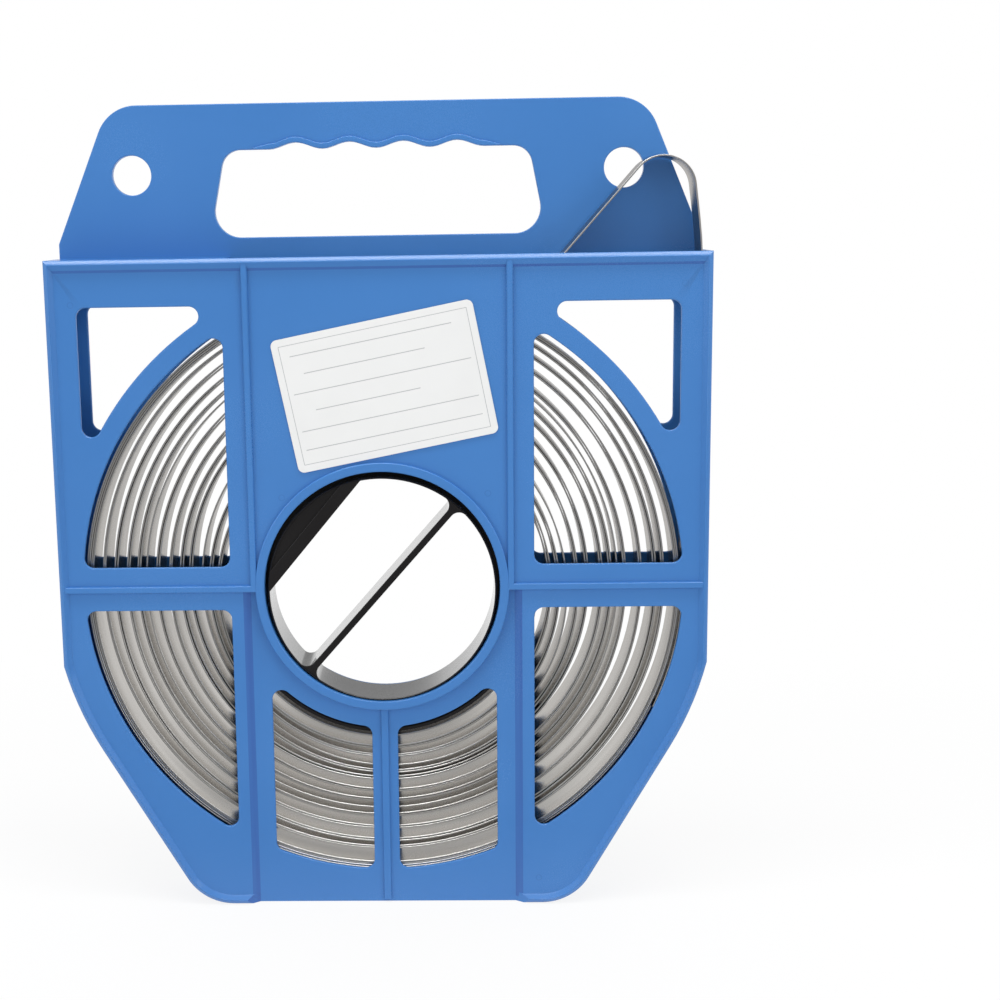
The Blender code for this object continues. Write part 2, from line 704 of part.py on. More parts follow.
def back_cover(target, finish):
    """The back moulding: a plate with windows and the handle, its rims, ribs, collar and posts."""
    additions, cutters = collection("back_additions"), collection("back_cutters")
    seam = PARTING + FIT_GAP
    cover = back_blank(target, finish)
    grown = rounded_polygon(grip_corners(GRIP_EDGE_WIDTH, FINGER_DEPTH))
    flat_solid("grip_rim", [grown], BACK_OUT - OVERLAP, REAR, additions)
    lip_front = BACK_IN - LIP_HEIGHT
    flat_solid("grip_lip", [lip_outline()], lip_front, BACK_IN + OVERLAP, additions)
    flat_solid("grip_opening", [grip_outline()], lip_front - OVERLAP, REAR + OVERLAP, cutters)
    for i, boss in enumerate(hang_holes(HANG_HOLE_RADIUS + HANG_BOSS_WALL)):
        flat_solid(f"hang_boss_{i}", [boss], BACK_OUT - OVERLAP, REAR, additions)
    for i, hole in enumerate(hang_holes(HANG_HOLE_RADIUS)):
        flat_solid(f"hang_hole_{i}", [hole], BACK_IN - OVERLAP, REAR + OVERLAP, cutters)
    add_ribs(
        BACK_OUT - WALL / 2, REAR - DRAFT, BACK_OUT - WALL / 2, BACK_OUT + MIDDLE_RIB_HEIGHT, additions
    )
    web_back = STRAP_MIDDLE + CORE_WEB / 2 + CORE_WEB_GAP
    collar("back_collar", REAR, BACK_IN + OVERLAP, web_back, additions)
    for i, (x, z) in enumerate(post_places()):
        flat_solid(
            f"back_post_{i}", [circle(x, z, POST_RADIUS, POST_STEPS)], seam, BACK_IN + OVERLAP, additions
        )
        flat_solid(
            f"back_pin_{i}",
            [circle(x, z, PIN_RADIUS, POST_STEPS)],
            PARTING - PIN_LENGTH,
            seam + OVERLAP,
            additions,
        )
    cut_windows("back", BACK_IN - OVERLAP, REAR + OVERLAP, cutters)
    cut_slot("back_slot", seam - OVERLAP, BACK_IN, cutters)
    combine(cover, additions, cutters)
    return cover


def hang_holes(radius):
    """The round holes at the ends of the handle, or their bosses."""
    x = HANDLE_BASE_WIDTH / 2 - HANG_HOLE_TO_SIDE
    height = CASE_TOP + HANDLE_HEIGHT - HANG_HOLE_DROP
    return [circle(sign * x, height, radius, ROUND_STEPS // 2) for sign in (-1, 1)]


def reel_core(target, finish):
    """The core: a sleeve in the collars, a drum under the strap, the web between, and the bar."""
    additions, cutters = collection("core_additions"), collection("core_cutters")
    front, back = FRONT + CORE_SET_BACK, REAR - CORE_SET_BACK
    web_front, web_back = STRAP_MIDDLE - CORE_WEB / 2, STRAP_MIDDLE + CORE_WEB / 2
    drum_inner = CORE_DRUM_RADIUS - CORE_DRUM_WALL
    profile = [
        (SLEEVE_INNER, front),
        (SLEEVE_OUTER, front),
        (SLEEVE_OUTER, web_front),
        (drum_inner, web_front),
        (drum_inner, STRAP_FRONT),
        (CORE_DRUM_RADIUS, STRAP_FRONT),
        (CORE_DRUM_RADIUS, STRAP_BACK),
        (drum_inner, STRAP_BACK),
        (drum_inner, web_back),
        (SLEEVE_OUTER, web_back),
        (SLEEVE_OUTER, back),
        (SLEEVE_INNER, back),
    ]
    core = turned_solid("reel_core", profile, REEL_HEIGHT, ROUND_STEPS, target, finish)
    flat_solid("core_bar", [bar_outline()], front + MERGE, back - MERGE, additions)
    wall, floor = chord_outline(CORE_CHORD_WALL), chord_outline(None)
    flat_solid("chord_wall", [wall], front + MERGE, back - MERGE, additions)
    near = front + CORE_CHORD_SET_BACK
    flat_solid("chord_floor", [floor], near, near + CORE_CHORD_FLOOR, additions)
    combine(core, additions, cutters)
    return core


def turned_by(points, angle, dz):
    """An outline turned about the origin by degrees, and then lifted."""
    cos, sin = math.cos(math.radians(angle)), math.sin(math.radians(angle))
    return [(x * cos - z * sin, x * sin + z * cos + dz) for x, z in points]


def bar_outline():
    """The bar across the bore of the core, flared where it meets the sleeve."""
    half = CORE_BAR_THICKNESS / 2
    reach = SLEEVE_INNER + CORE_SLEEVE_WALL / 2
    flare = CORE_BAR_FLARE
    start = math.sqrt(SLEEVE_INNER**2 - (half + flare) ** 2) - flare
    fillet = arc((start, half + flare), flare, -90, 0, CORNER_STEP)
    end = math.sqrt(reach**2 - (half + flare) ** 2)
    quarter = fillet + [(end, half + flare)]
    lower = [(x, -z) for x, z in quarter]
    right = lower + quarter[::-1]
    return turned_by(right + half_turn(right), CORE_BAR_ANGLE, REEL_HEIGHT)


def half_turn(points):
    """The same outline, turned by 180 degrees."""
    return [(-x, -z) for x, z in points]


def chord_outline(wall):
    """The piece of the bore beyond a chord beside the bar: a strip of a given width, or all of it."""
    reach = SLEEVE_INNER + CORE_SLEEVE_WALL / 2
    near = CORE_CHORD_DISTANCE
    near_turn = math.degrees(math.asin(near / reach))
    if wall is None:
        points = arc((0, 0), reach, near_turn, 180 - near_turn)
    else:
        far = near + wall
        far_turn = math.degrees(math.asin(far / reach))
        right = arc((0, 0), reach, near_turn, far_turn)
        points = right + mirrored(right)[::-1]
    return turned_by(points, CORE_BAR_ANGLE, REEL_HEIGHT)


def strap_coil(target, finish):
    """The wound strap as one turned ring. Grooves in its ends show the gaps between its turns."""
    pitch = (COIL_OUTER_RADIUS - COIL_BORE) / COIL_BUNDLES
    half = COIL_GROOVE_WIDTH / 2
    front = [(COIL_BORE, STRAP_FRONT)]
    for i in range(1, COIL_BUNDLES):
        groove = COIL_BORE + i * pitch
        front.append((groove - half, STRAP_FRONT))
        front.append((groove, STRAP_FRONT + COIL_GROOVE_DEPTH))
        front.append((groove + half, STRAP_FRONT))
    front.append((COIL_OUTER_RADIUS, STRAP_FRONT))
    back = [(r, STRAP_FRONT + STRAP_BACK - y) for r, y in front]
    return turned_solid("strap_coil", front + back[::-1], REEL_HEIGHT, COIL_STEPS, target, finish)


def strap_route():
    """The middle line of the free end: round the coil, up out of the slot, over and back in."""
    radius = COIL_OUTER_RADIUS + FIT_GAP + STRAP_THICKNESS / 2
    heading = 90 - STRAP_HUG_ANGLE
    start = math.radians(-STRAP_HUG_ANGLE)
    points = [(radius * math.cos(start), REEL_HEIGHT + radius * math.sin(start))]
    # It leaves the coil on the tangent to the place where it bends back, beside the case's side
    across = CASE_WIDTH / 2 - RIM_WIDTH - STRAP_TO_SIDE
    up = CASE_TOP - STRAP_BEND_DROP - REEL_HEIGHT
    away = math.hypot(across, up)
    leave = math.degrees(math.acos(radius / away)) - bearing((across, up))
    moves = (
        (radius, STRAP_HUG_ANGLE - leave),
        (None, math.sqrt(away**2 - radius**2)),
        (STRAP_BEND_RADIUS, leave + STRAP_LEAN),
        (None, STRAP_LEG),
        (STRAP_LOOP_RADIUS, 90 - STRAP_LEAN + STRAP_TUCK_SLOPE),
        (None, STRAP_TUCK),
    )
    for bend, amount in moves:
        x, z = points[-1]
        if bend is None:
            ahead = math.radians(heading)
            points.append((x + amount * math.cos(ahead), z + amount * math.sin(ahead)))
            continue
        side = math.radians(heading + 90)
        centre = (x + bend * math.cos(side), z + bend * math.sin(side))
        points += arc(centre, bend, heading - 90, heading - 90 + amount)[1:]
        heading += amount
    return points


def strap_end(target, finish):
    """The free end of the strap, a ribbon with the strap's thickness."""
    shape = bmesh.new()
    line = [shape.verts.new((x, STRAP_FRONT, z)) for x, z in strap_route()]
    edges = [shape.edges.new(pair) for pair in zip(line, line[1:])]
    grown = bmesh.ops.extrude_edge_only(shape, edges=edges)
    moved = [item for item in grown["geom"] if isinstance(item, bmesh.types.BMVert)]
    bmesh.ops.translate(shape, verts=moved, vec=(0, STRAP_WIDTH, 0))
    mesh = bpy.data.meshes.new("strap_end")
    shape.to_mesh(mesh)
    shape.free()
    made = link("strap_end", mesh, target, finish)
    solidify = made.modifiers.new("Thickness", "SOLIDIFY")
    solidify.thickness = STRAP_THICKNESS
    solidify.offset = 0
    return made


def paper_label(target, finish):
    """The label on the front, a little turned."""
    half_width, half_height = LABEL_WIDTH / 2, LABEL_HEIGHT / 2
    corners = [
        (-half_width, -half_height, LABEL_CORNER),
        (half_width, -half_height, LABEL_CORNER),
        (half_width, half_height, LABEL_CORNER),
        (-half_width, half_height, LABEL_CORNER),
    ]
    outline = shifted(turned_by(rounded_polygon(corners), LABEL_TURN, CASE_TOP - LABEL_DROP), LABEL_X)
    near = PANEL_OUT - FIT_GAP - LABEL_THICKNESS
    return flat_solid("paper_label", [outline], near, near + LABEL_THICKNESS, target, finish)


def main():
    """Build every piece."""
    clear_scene()
    target = collection("banding_strap_in_case")
    blue = material("blue_plastic", (0.06, 0.22, 0.60), 0.35)
    black = material("black_plastic", (0.02, 0.02, 0.02), 0.3)
    steel = material("stainless_steel", (0.62, 0.61, 0.59), 0.28, 1.0)
    paper = material("white_paper", (0.9, 0.9, 0.88), 0.6)
    front_cover(target, blue)
    back_cover(target, blue)
    reel_core(target, black)
    strap_coil(target, steel)
    strap_end(target, steel)
    paper_label(target, paper)


main()
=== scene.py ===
import sys

import logging
import math
import random
from collections.abc import Callable, Iterable, Iterator
from contextlib import contextmanager
from dataclasses import dataclass
from enum import Enum

import bmesh
import bpy
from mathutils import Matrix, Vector


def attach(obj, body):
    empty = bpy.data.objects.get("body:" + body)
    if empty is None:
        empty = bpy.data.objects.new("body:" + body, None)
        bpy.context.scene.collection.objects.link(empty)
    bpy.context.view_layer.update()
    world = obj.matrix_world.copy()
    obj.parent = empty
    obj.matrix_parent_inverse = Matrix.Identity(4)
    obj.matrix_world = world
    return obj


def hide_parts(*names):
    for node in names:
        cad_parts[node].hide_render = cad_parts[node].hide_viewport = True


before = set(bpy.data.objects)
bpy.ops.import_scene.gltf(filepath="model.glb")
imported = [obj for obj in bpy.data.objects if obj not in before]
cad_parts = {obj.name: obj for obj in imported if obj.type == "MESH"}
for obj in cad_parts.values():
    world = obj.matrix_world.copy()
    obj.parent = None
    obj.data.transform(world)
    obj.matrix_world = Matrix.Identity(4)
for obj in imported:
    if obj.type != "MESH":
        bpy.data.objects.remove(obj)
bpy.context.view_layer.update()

LOG = logging.getLogger("banding_strap")

Point = tuple[float, float]
Outline = list[Point]
Colour = tuple[float, float, float]
Gap = tuple[float, float, float, int, float]


class Joining(Enum):
    """How one solid is put together with another."""

    FUSE = "UNION"
    CUT = "DIFFERENCE"


class Element(Enum):
    """What is picked in edit mode, as the select mode's three switches."""

    POINTS = (True, False, False)
    EDGES = (False, True, False)
    FACES = (False, False, True)


class Half(Enum):
    """The two mouldings of the case, with the direction that each one's outside faces."""

    FRONT = -1
    BACK = 1


# Outlines, drawn in the plane of the case: x to the right and z up


def arc(centre: Point, radius: float, start: float, end: float, step: float = 2.0) -> Outline:
    """Points on an arc, with its two ends.

    Args:
        centre: The arc's centre.
        radius: Its radius.
        start: Its first angle, in degrees.
        end: Its last angle, in degrees.
        step: The widest step between points, in degrees.

    Returns:
        The points, from start to end.
    """
    count = max(1, math.ceil(abs(end - start) / step - 1e-9))
    turns = [math.radians(start + (end - start) * i / count) for i in range(count + 1)]
    return [(centre[0] + radius * math.cos(t), centre[1] + radius * math.sin(t)) for t in turns]


def bearing(point: Point) -> float:
    """The direction of a point from the origin, in degrees."""
    return math.degrees(math.atan2(point[1], point[0]))


def mirrored(points: Outline) -> Outline:
    """The outline's mirror image in the middle plane of the case."""
    return [(-x, z) for x, z in points]


def lifted(points: Outline, height: float, across: float = 0.0) -> Outline:
    """The same outline, moved up and to the right."""
    return [(x + across, z + height) for x, z in points]


def turned_by(points: Outline, angle: float) -> Outline:
    """The same outline, turned about the origin by degrees."""
    cos, sin = math.cos(math.radians(angle)), math.sin(math.radians(angle))
    return [(x * cos - z * sin, x * sin + z * cos) for x, z in points]


def circle(radius: float, steps: int = 96) -> Outline:
    """A round outline about the origin."""
    return arc((0.0, 0.0), radius, 0.0, 360.0, 360.0 / steps)[:-1]


def rounded_polygon(corners: list[tuple[float, float, float]], step: float = 7.5) -> Outline:
    """An outline with rounded corners.

    Args:
        corners: Each corner as x, z and its radius.
        step: The widest step between points of a corner, in degrees.

    Returns:
        The outline, in the order of its corners.
    """
    points: Outline = []
    for i, (x, z, radius) in enumerate(corners):
        before, after = corners[i - 1], corners[(i + 1) % len(corners)]
        first = bearing((before[0] - x, before[1] - z))
        second = bearing((after[0] - x, after[1] - z))
        opening = (first - second) % 360
        convex = opening < 180
        half = opening / 2 if convex else (360 - opening) / 2
        middle = second + half if convex else first + half
        reach = radius / math.sin(math.radians(half))
        way = math.radians(middle)
        centre = (x + reach * math.cos(way), z + reach * math.sin(way))
        sweep = (90 - half) * (1 if convex else -1)
        points += arc(centre, radius, middle + 180 - sweep, middle + 180 + sweep, step)
    return points


@dataclass(frozen=True)
class CaseShape:
    """Sizes and outlines that the two halves of the case share."""

    width: float = 0.306
    radius: float = 0.1575
    hub: float = 0.158
    top: float = 0.313
    slant: float = 30.3
    foot_radius: float = 0.026
    wall: float = 0.0024
    rib_x: float = 0.0607
    window_radius: float = 0.1415
    window_corner: float = 0.0045
    quarter_inner: float = 0.0717
    quarter_edge: float = 0.0105
    corner_radius: float = 0.1508
    corner_outer: float = 0.139
    corner_drop: float = 0.0218
    foot_window_radius: float = 0.0695
    foot_window_outer: float = 0.0538
    foot_window_inner: float = 0.0062
    plate_inset: float = 0.0012
    hub_hole: float = 0.0566
    rib_half: float = 0.00175
    foot_rib_half: float = 0.002
    foot_rib_radius: float = 0.0593
    post_radius: float = 0.0035
    slot_ends: Point = (-0.07, 0.1506)
    slot_depth: float = 0.0029
    back_slope: float = 0.0018

    def foot_corner(self) -> Point:
        """The centre of the right foot corner's arc."""
        slant = math.radians(self.slant)
        level, reach = self.hub - self.foot_radius, self.radius - self.foot_radius
        return (reach - level * math.sin(slant)) / math.cos(slant), self.foot_radius

    def outline(self, inset: float = 0.0, top_inset: float | None = None) -> Outline:
        """The case's own outline, from its top right corner down and round.

        Args:
            inset: How far it is moved inwards.
            top_inset: How far its top edge is moved down, where that differs.

        Returns:
            The outline, with as many points for any inset.
        """
        side, radius = self.width / 2 - inset, self.radius - inset
        side_turn = -math.degrees(math.acos(side / radius))
        drop = inset if top_inset is None else top_inset
        right = [(side, self.top - drop)]
        right += lifted(arc((0.0, 0.0), radius, side_turn, -self.slant, 2.6), self.hub)
        right += arc(self.foot_corner(), self.foot_radius - inset, -self.slant, -90.0, 5.0)
        return right + mirrored(right)[::-1]

    def quarter_window(self, up: bool) -> Outline:
        """The window over a quarter of the coil, on the right, above or below the hub."""
        f, radius = self.window_corner, self.window_radius
        inner = (self.quarter_inner + f, self.quarter_edge + f)
        outer = (math.sqrt((radius - f) ** 2 - inner[1] ** 2), inner[1])
        tip = (inner[0], math.sqrt((radius - f) ** 2 - inner[0] ** 2))
        points = arc(inner, f, 180, 270, 9)
        points += arc(outer, f, -90, bearing(outer), 9)
        points += arc((0, 0), radius, bearing(outer), bearing(tip))[1:-1]
        points += arc(tip, f, bearing(tip), 180, 9)
        return lifted(points if up else [(x, -z) for x, z in points], self.hub)

    def corner_window(self) -> Outline:
        """The window in the right upper corner, outside the coil."""
        f, radius = self.window_corner, self.corner_radius
        top, outer_x = self.top - self.corner_drop - self.hub - f, self.corner_outer - f
        inner = (math.sqrt((radius + f) ** 2 - top**2), top)
        low = (outer_x, math.sqrt((radius + f) ** 2 - outer_x**2))
        points = arc((outer_x, top), f, 0, 90, 9)
        points += arc(inner, f, 90, 180 + bearing(inner), 9)
        points += arc((0, 0), radius, bearing(inner), bearing(low))[1:-1]
        points += arc(low, f, 180 + bearing(low), 360, 9)
        return lifted(points, self.hub)

    def foot_window(self) -> Outline:
        """The window under the hub, on the right of the middle rib."""
        f = self.window_corner
        left, right = self.foot_window_inner + f, self.foot_window_outer - f
        inside, outside = self.foot_window_radius + f, self.window_radius - f
        near_right, near_left = ((x, math.sqrt(inside**2 - x**2)) for x in (right, left))
        far_right, far_left = ((x, math.sqrt(outside**2 - x**2)) for x in (right, left))
        points = arc(near_right, f, 180 + bearing(near_right), 360, 9)
        points += arc(far_right, f, 0, bearing(far_right), 9)
        points += arc((0, 0), self.window_radius, bearing(far_right), bearing(far_left))[1:-1]
        points += arc(far_left, f, bearing(far_left), 180, 9)
        points += arc(near_left, f, 180, 180 + bearing(near_left), 9)
        turn = bearing(near_left), bearing(near_right)
        points += arc((0, 0), self.foot_window_radius, *turn)[1:-1]
        return [(x, self.hub - z) for x, z in points]

    def windows(self) -> list[Outline]:
        """All eight windows of one half."""
        right = [self.quarter_window(True), self.quarter_window(False)]
        right += [self.corner_window(), self.foot_window()]
        return right + [mirrored(window) for window in right]

    def plate(self) -> list[Outline]:
        """The plate of one half: its edge, the hole for the hub and the windows."""
        edge, hole = self.outline(self.plate_inset), lifted(circle(self.hub_hole), self.hub)
        return [edge, hole, *self.windows()]

    def post_places(self) -> list[Point]:
        """Where the four posts that join the halves stand."""
        foot_x, foot_z = self.foot_corner()
        right = [(self.width / 2 - 0.0135, self.top - 0.012), (foot_x, foot_z - 0.012)]
        return right + mirrored(right)


@dataclass(frozen=True)
class Levels:
    """Levels along y, from the front face of the case to its rear face."""

    front: float = -0.015025
    panel_out: float = -0.013025
    panel_in: float = -0.011025
    floor_in: float = -0.009025
    strap_front: float = -0.008525
    parting: float = 0.001
    strap_back: float = 0.010525
    back_in: float = 0.011025
    back_out: float = 0.013025
    rear: float = 0.015025


# The bench: modelling steps, done as by hand


WELD = 2e-6


def hold(obj: bpy.types.Object) -> bpy.types.Object:
    """Select one object alone and make it the active one."""
    if bpy.context.object and bpy.context.object.mode != "OBJECT":
        bpy.ops.object.mode_set(mode="OBJECT")
    bpy.ops.object.select_all(action="DESELECT")
    obj.select_set(True)
    bpy.context.view_layer.objects.active = obj
    return obj


def linked(name: str, data: bpy.types.ID) -> bpy.types.Object:
    """A new object, put into the scene."""
    made = bpy.data.objects.new(name, data)
    bpy.context.scene.collection.objects.link(made)
    return made


def modified(obj: bpy.types.Object, name: str, kind: str, **settings: object) -> bpy.types.Object:
    """Give an object a modifier with its settings, and apply it."""
    hold(obj)
    step = obj.modifiers.new(name, kind)
    for setting, value in settings.items():
        setattr(step, setting, value)
    bpy.ops.object.modifier_apply(modifier=step.name)
    return obj


@contextmanager
def editing(
    obj: bpy.types.Object, element: Element = Element.POINTS, whole: bool = False
) -> Iterator[None]:
    """Hold an object in edit mode, with all of it picked or nothing, and leave edit mode afterwards."""
    hold(obj)
    bpy.ops.object.mode_set(mode="EDIT")
    bpy.context.tool_settings.mesh_select_mode = element.value
    bpy.ops.mesh.select_all(action="SELECT" if whole else "DESELECT")
    yield
    bpy.ops.object.mode_set(mode="OBJECT")


def pick(obj: bpy.types.Object, element: Element, test: Callable[[Vector, Vector], bool]) -> int:
    """Pick points, edges or faces in edit mode by their place and normal.

    Args:
        obj: The object that is held in edit mode.
        element: What is picked.
        test: Tells from an element's middle and normal whether it is picked.

    Returns:
        How many were picked.
    """
    bpy.context.tool_settings.mesh_select_mode = element.value
    bpy.ops.mesh.select_all(action="DESELECT")
    shape = bmesh.from_edit_mesh(obj.data)
    picked = 0
    for item in {"POINTS": shape.verts, "EDGES": shape.edges, "FACES": shape.faces}[element.name]:
        if element is Element.POINTS:
            place, normal = item.co, item.normal
        elif element is Element.FACES:
            place, normal = item.calc_center_median(), item.normal
        else:
            place = (item.verts[0].co + item.verts[1].co) / 2
            normal = sum((face.normal for face in item.link_faces), Vector())
        if test(place, normal):
            item.select_set(True)
            picked += 1
    shape.select_flush_mode()
    bmesh.update_edit_mesh(obj.data)
    return picked


def weld(obj: bpy.types.Object) -> bpy.types.Object:
    """Merge an object's doubles and turn its faces outwards."""
    with editing(obj, whole=True):
        bpy.ops.mesh.remove_doubles(threshold=WELD)
        bpy.ops.mesh.normals_make_consistent(inside=False)
        shape = bmesh.from_edit_mesh(obj.data)
        if shape.calc_volume(signed=True) < 0:
            bpy.ops.mesh.flip_normals()
    return obj


def drawn(name: str, points: Outline, level: float, closed: bool = True) -> bpy.types.Object:
    """Draw an outline as a line of points at one level.

    Args:
        name: The object's name.
        points: The outline.
        level: Its level along y.
        closed: Whether its last point joins its first.

    Returns:
        The object, which has edges and no faces.
    """
    mesh = bpy.data.meshes.new(name)
    count = len(points)
    edges = [(i, (i + 1) % count) for i in range(count if closed else count - 1)]
    mesh.from_pydata([(x, level, z) for x, z in points], edges, [])
    return linked(name, mesh)


def flat(
    name: str, outlines: list[Outline], near: float, far: float, rounding: float = 0.0, swell: float = 0.0
) -> bpy.types.Object:
    """A flat piece with rounded edges between two levels, from a filled curve.

    Args:
        name: The object's name.
        outlines: The outer outline and any holes.
        near: The level of its front face.
        far: The level of its rear face.
        rounding: The radius of its edges.
        swell: How far its sides stand outside the outline.

    Returns:
        The piece, as a closed mesh.
    """
    curve = bpy.data.curves.new(name, "CURVE")
    curve.dimensions, curve.fill_mode = "2D", "BOTH"
    curve.extrude, curve.offset = (far - near) / 2 - rounding, swell - rounding
    curve.bevel_depth, curve.bevel_resolution = rounding, 2 if rounding else 0
    for outline in outlines:
        spline = curve.splines.new("POLY")
        spline.points.add(len(outline) - 1)
        for point, (x, z) in zip(spline.points, outline):
            point.co = (x, z, 0.0, 1.0)
        spline.use_cyclic_u = True
    hold(linked(name, curve))
    bpy.ops.object.convert(target="MESH")
    made = bpy.context.object
    made.rotation_euler, made.location = (math.pi / 2, 0.0, 0.0), (0.0, (near + far) / 2, 0.0)
    bpy.ops.object.transform_apply(location=True, rotation=True, scale=True)
    return weld(made)


def rail(
    name: str, outline_of: Callable[[float], Outline], section: list[Point], closed: bool = True
) -> bpy.types.Object:
    """A bar that runs along an outline with one section all the way.

    Args:
        name: The object's name.
        outline_of: Gives the outline, as many points each time, for a distance inwards.
        section: The bar's section as points of distance inwards and level, in order round it.
        closed: Whether the outline runs all the way round.

    Returns:
        The bar, as a closed mesh.
    """
    made = drawn(name, outline_of(section[0][0]), section[0][1], closed)
    number = made.data.attributes.new("number", "INT", "POINT")
    number.data.foreach_set("value", range(len(made.data.vertices)))
    with editing(made, Element.EDGES, whole=True):
        for inwards, level in section[1:] + section[:1]:
            line = outline_of(inwards)
            bpy.ops.mesh.extrude_edges_move()
            shape = bmesh.from_edit_mesh(made.data)
            numbers = shape.verts.layers.int["number"]
            for vertex in (v for v in shape.verts if v.select):
                x, z = line[vertex[numbers]]
                vertex.co = (x, level, z)
            bmesh.update_edit_mesh(made.data)
        bpy.ops.mesh.select_all(action="SELECT")
        bpy.ops.mesh.remove_doubles(threshold=1e-6)
        if not closed:
            bpy.ops.mesh.select_all(action="DESELECT")
            bpy.ops.mesh.select_non_manifold()
            bpy.ops.mesh.fill_holes(sides=0)
    made.data.attributes.remove(made.data.attributes["number"])
    return weld(made)


def turned(name: str, section: list[Point], height: float, steps: int = 128) -> bpy.types.Object:
    """A ring that is spun about the y axis at a height.

    Args:
        name: The object's name.
        section: Its section as points of radius and level, in order round it.
        height: The height of the axis.
        steps: How many steps the spin takes.

    Returns:
        The ring, as a closed mesh.
    """
    made = drawn(name, [(radius, height) for radius, _ in section], 0.0)
    for vertex, (_, level) in zip(made.data.vertices, section):
        vertex.co.y = level
    with editing(made, whole=True):
        bpy.ops.mesh.spin(steps=steps, angle=2 * math.pi, center=(0, 0, height), axis=(0, 1, 0))
    return weld(made)


def bar(
    name: str,
    x: Point,
    z: Point,
    levels: Point,
    draft: float = 0.0003,
    rounding: float = 0.0005,
) -> bpy.types.Object:
    """A straight moulded rib with a drafted top and rounded edges.

    Args:
        name: The object's name.
        x: Its limits across, at its base.
        z: Its limits in height, at its base.
        levels: The levels of its base and of its top.
        draft: How much narrower each side is at the top.
        rounding: The radius of its top edges.

    Returns:
        The rib, as a closed mesh.
    """
    bpy.ops.object.select_all(action="DESELECT")
    middle = (sum(x) / 2, sum(levels) / 2, sum(z) / 2)
    bpy.ops.mesh.primitive_cube_add(size=1.0, location=middle)
    made = bpy.context.object
    made.name = name
    made.scale = (x[1] - x[0], abs(levels[1] - levels[0]), z[1] - z[0])
    bpy.ops.object.transform_apply(location=True, rotation=True, scale=True)
    outwards = math.copysign(1.0, levels[1] - levels[0])
    with editing(made):
        pick(made, Element.FACES, lambda place, normal: normal.y * outwards > 0.9)
        narrower = [1 - 2 * draft / size for size in (x[1] - x[0], z[1] - z[0])]
        bpy.ops.transform.resize(
            value=(narrower[0], 1.0, narrower[1]), center_override=(middle[0], levels[1], middle[2])
        )
        pick(made, Element.EDGES, lambda place, normal: (place.y - middle[1]) * outwards > 1e-4)
        bpy.ops.mesh.bevel(offset=rounding, segments=3, affect="EDGES")
    return weld(made)


def put_together(base: bpy.types.Object, how: Joining, parts: Iterable[bpy.types.Object]) -> None:
    """Fuse solids to a base, or cut them from it, one at a time.

    Args:
        base: The solid that stays.
        how: Whether the parts are fused or cut away.
        parts: The solids that are used up.
    """
    for part in parts:
        modified(base, part.name, "BOOLEAN", operation=how.value, solver="MANIFOLD", object=part)
        bpy.data.objects.remove(part, do_unlink=True)


def smooth(obj: bpy.types.Object, angle: float = 35.0) -> bpy.types.Object:
    """Shade an object smooth up to an angle, with its flat faces kept flat."""
    hold(obj)
    bpy.ops.object.shade_smooth_by_angle(angle=math.radians(angle))
    settings = {"mode": "FACE_AREA", "weight": 50, "keep_sharp": True}
    return modified(obj, "Even shading", "WEIGHTED_NORMAL", **settings)


def toned(obj: bpy.types.Object, name: str, test: Callable[[Vector, Vector], bool]) -> None:
    """Mark the faces of a piece on which its material paints shade or a sheen.

    Args:
        obj: The piece.
        name: The attribute's name.
        test: Tells from a face's middle and normal whether it is marked.
    """
    faces = obj.data.polygons
    tone = obj.data.attributes.new(name, "FLOAT", "FACE")
    tone.data.foreach_set("value", [float(test(face.center, face.normal)) for face in faces])


def dress(obj: bpy.types.Object, finish: bpy.types.Material, body: str, slot: str, *nodes: str) -> None:
    """Give a finished piece its material, its body and the CAD nodes that it stands for.

    Args:
        obj: The piece.
        finish: Its material.
        body: The body that it rides on.
        slot: The record's slot for the piece's finish; it is not used.
        nodes: The CAD nodes that it replaces.
    """
    obj.data.materials.clear()
    obj.data.materials.append(finish)
    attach(obj, body)
    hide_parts(*nodes)
    LOG.info("%s: %d faces, rides on %s", obj.name, len(obj.data.polygons), body)


# Materials


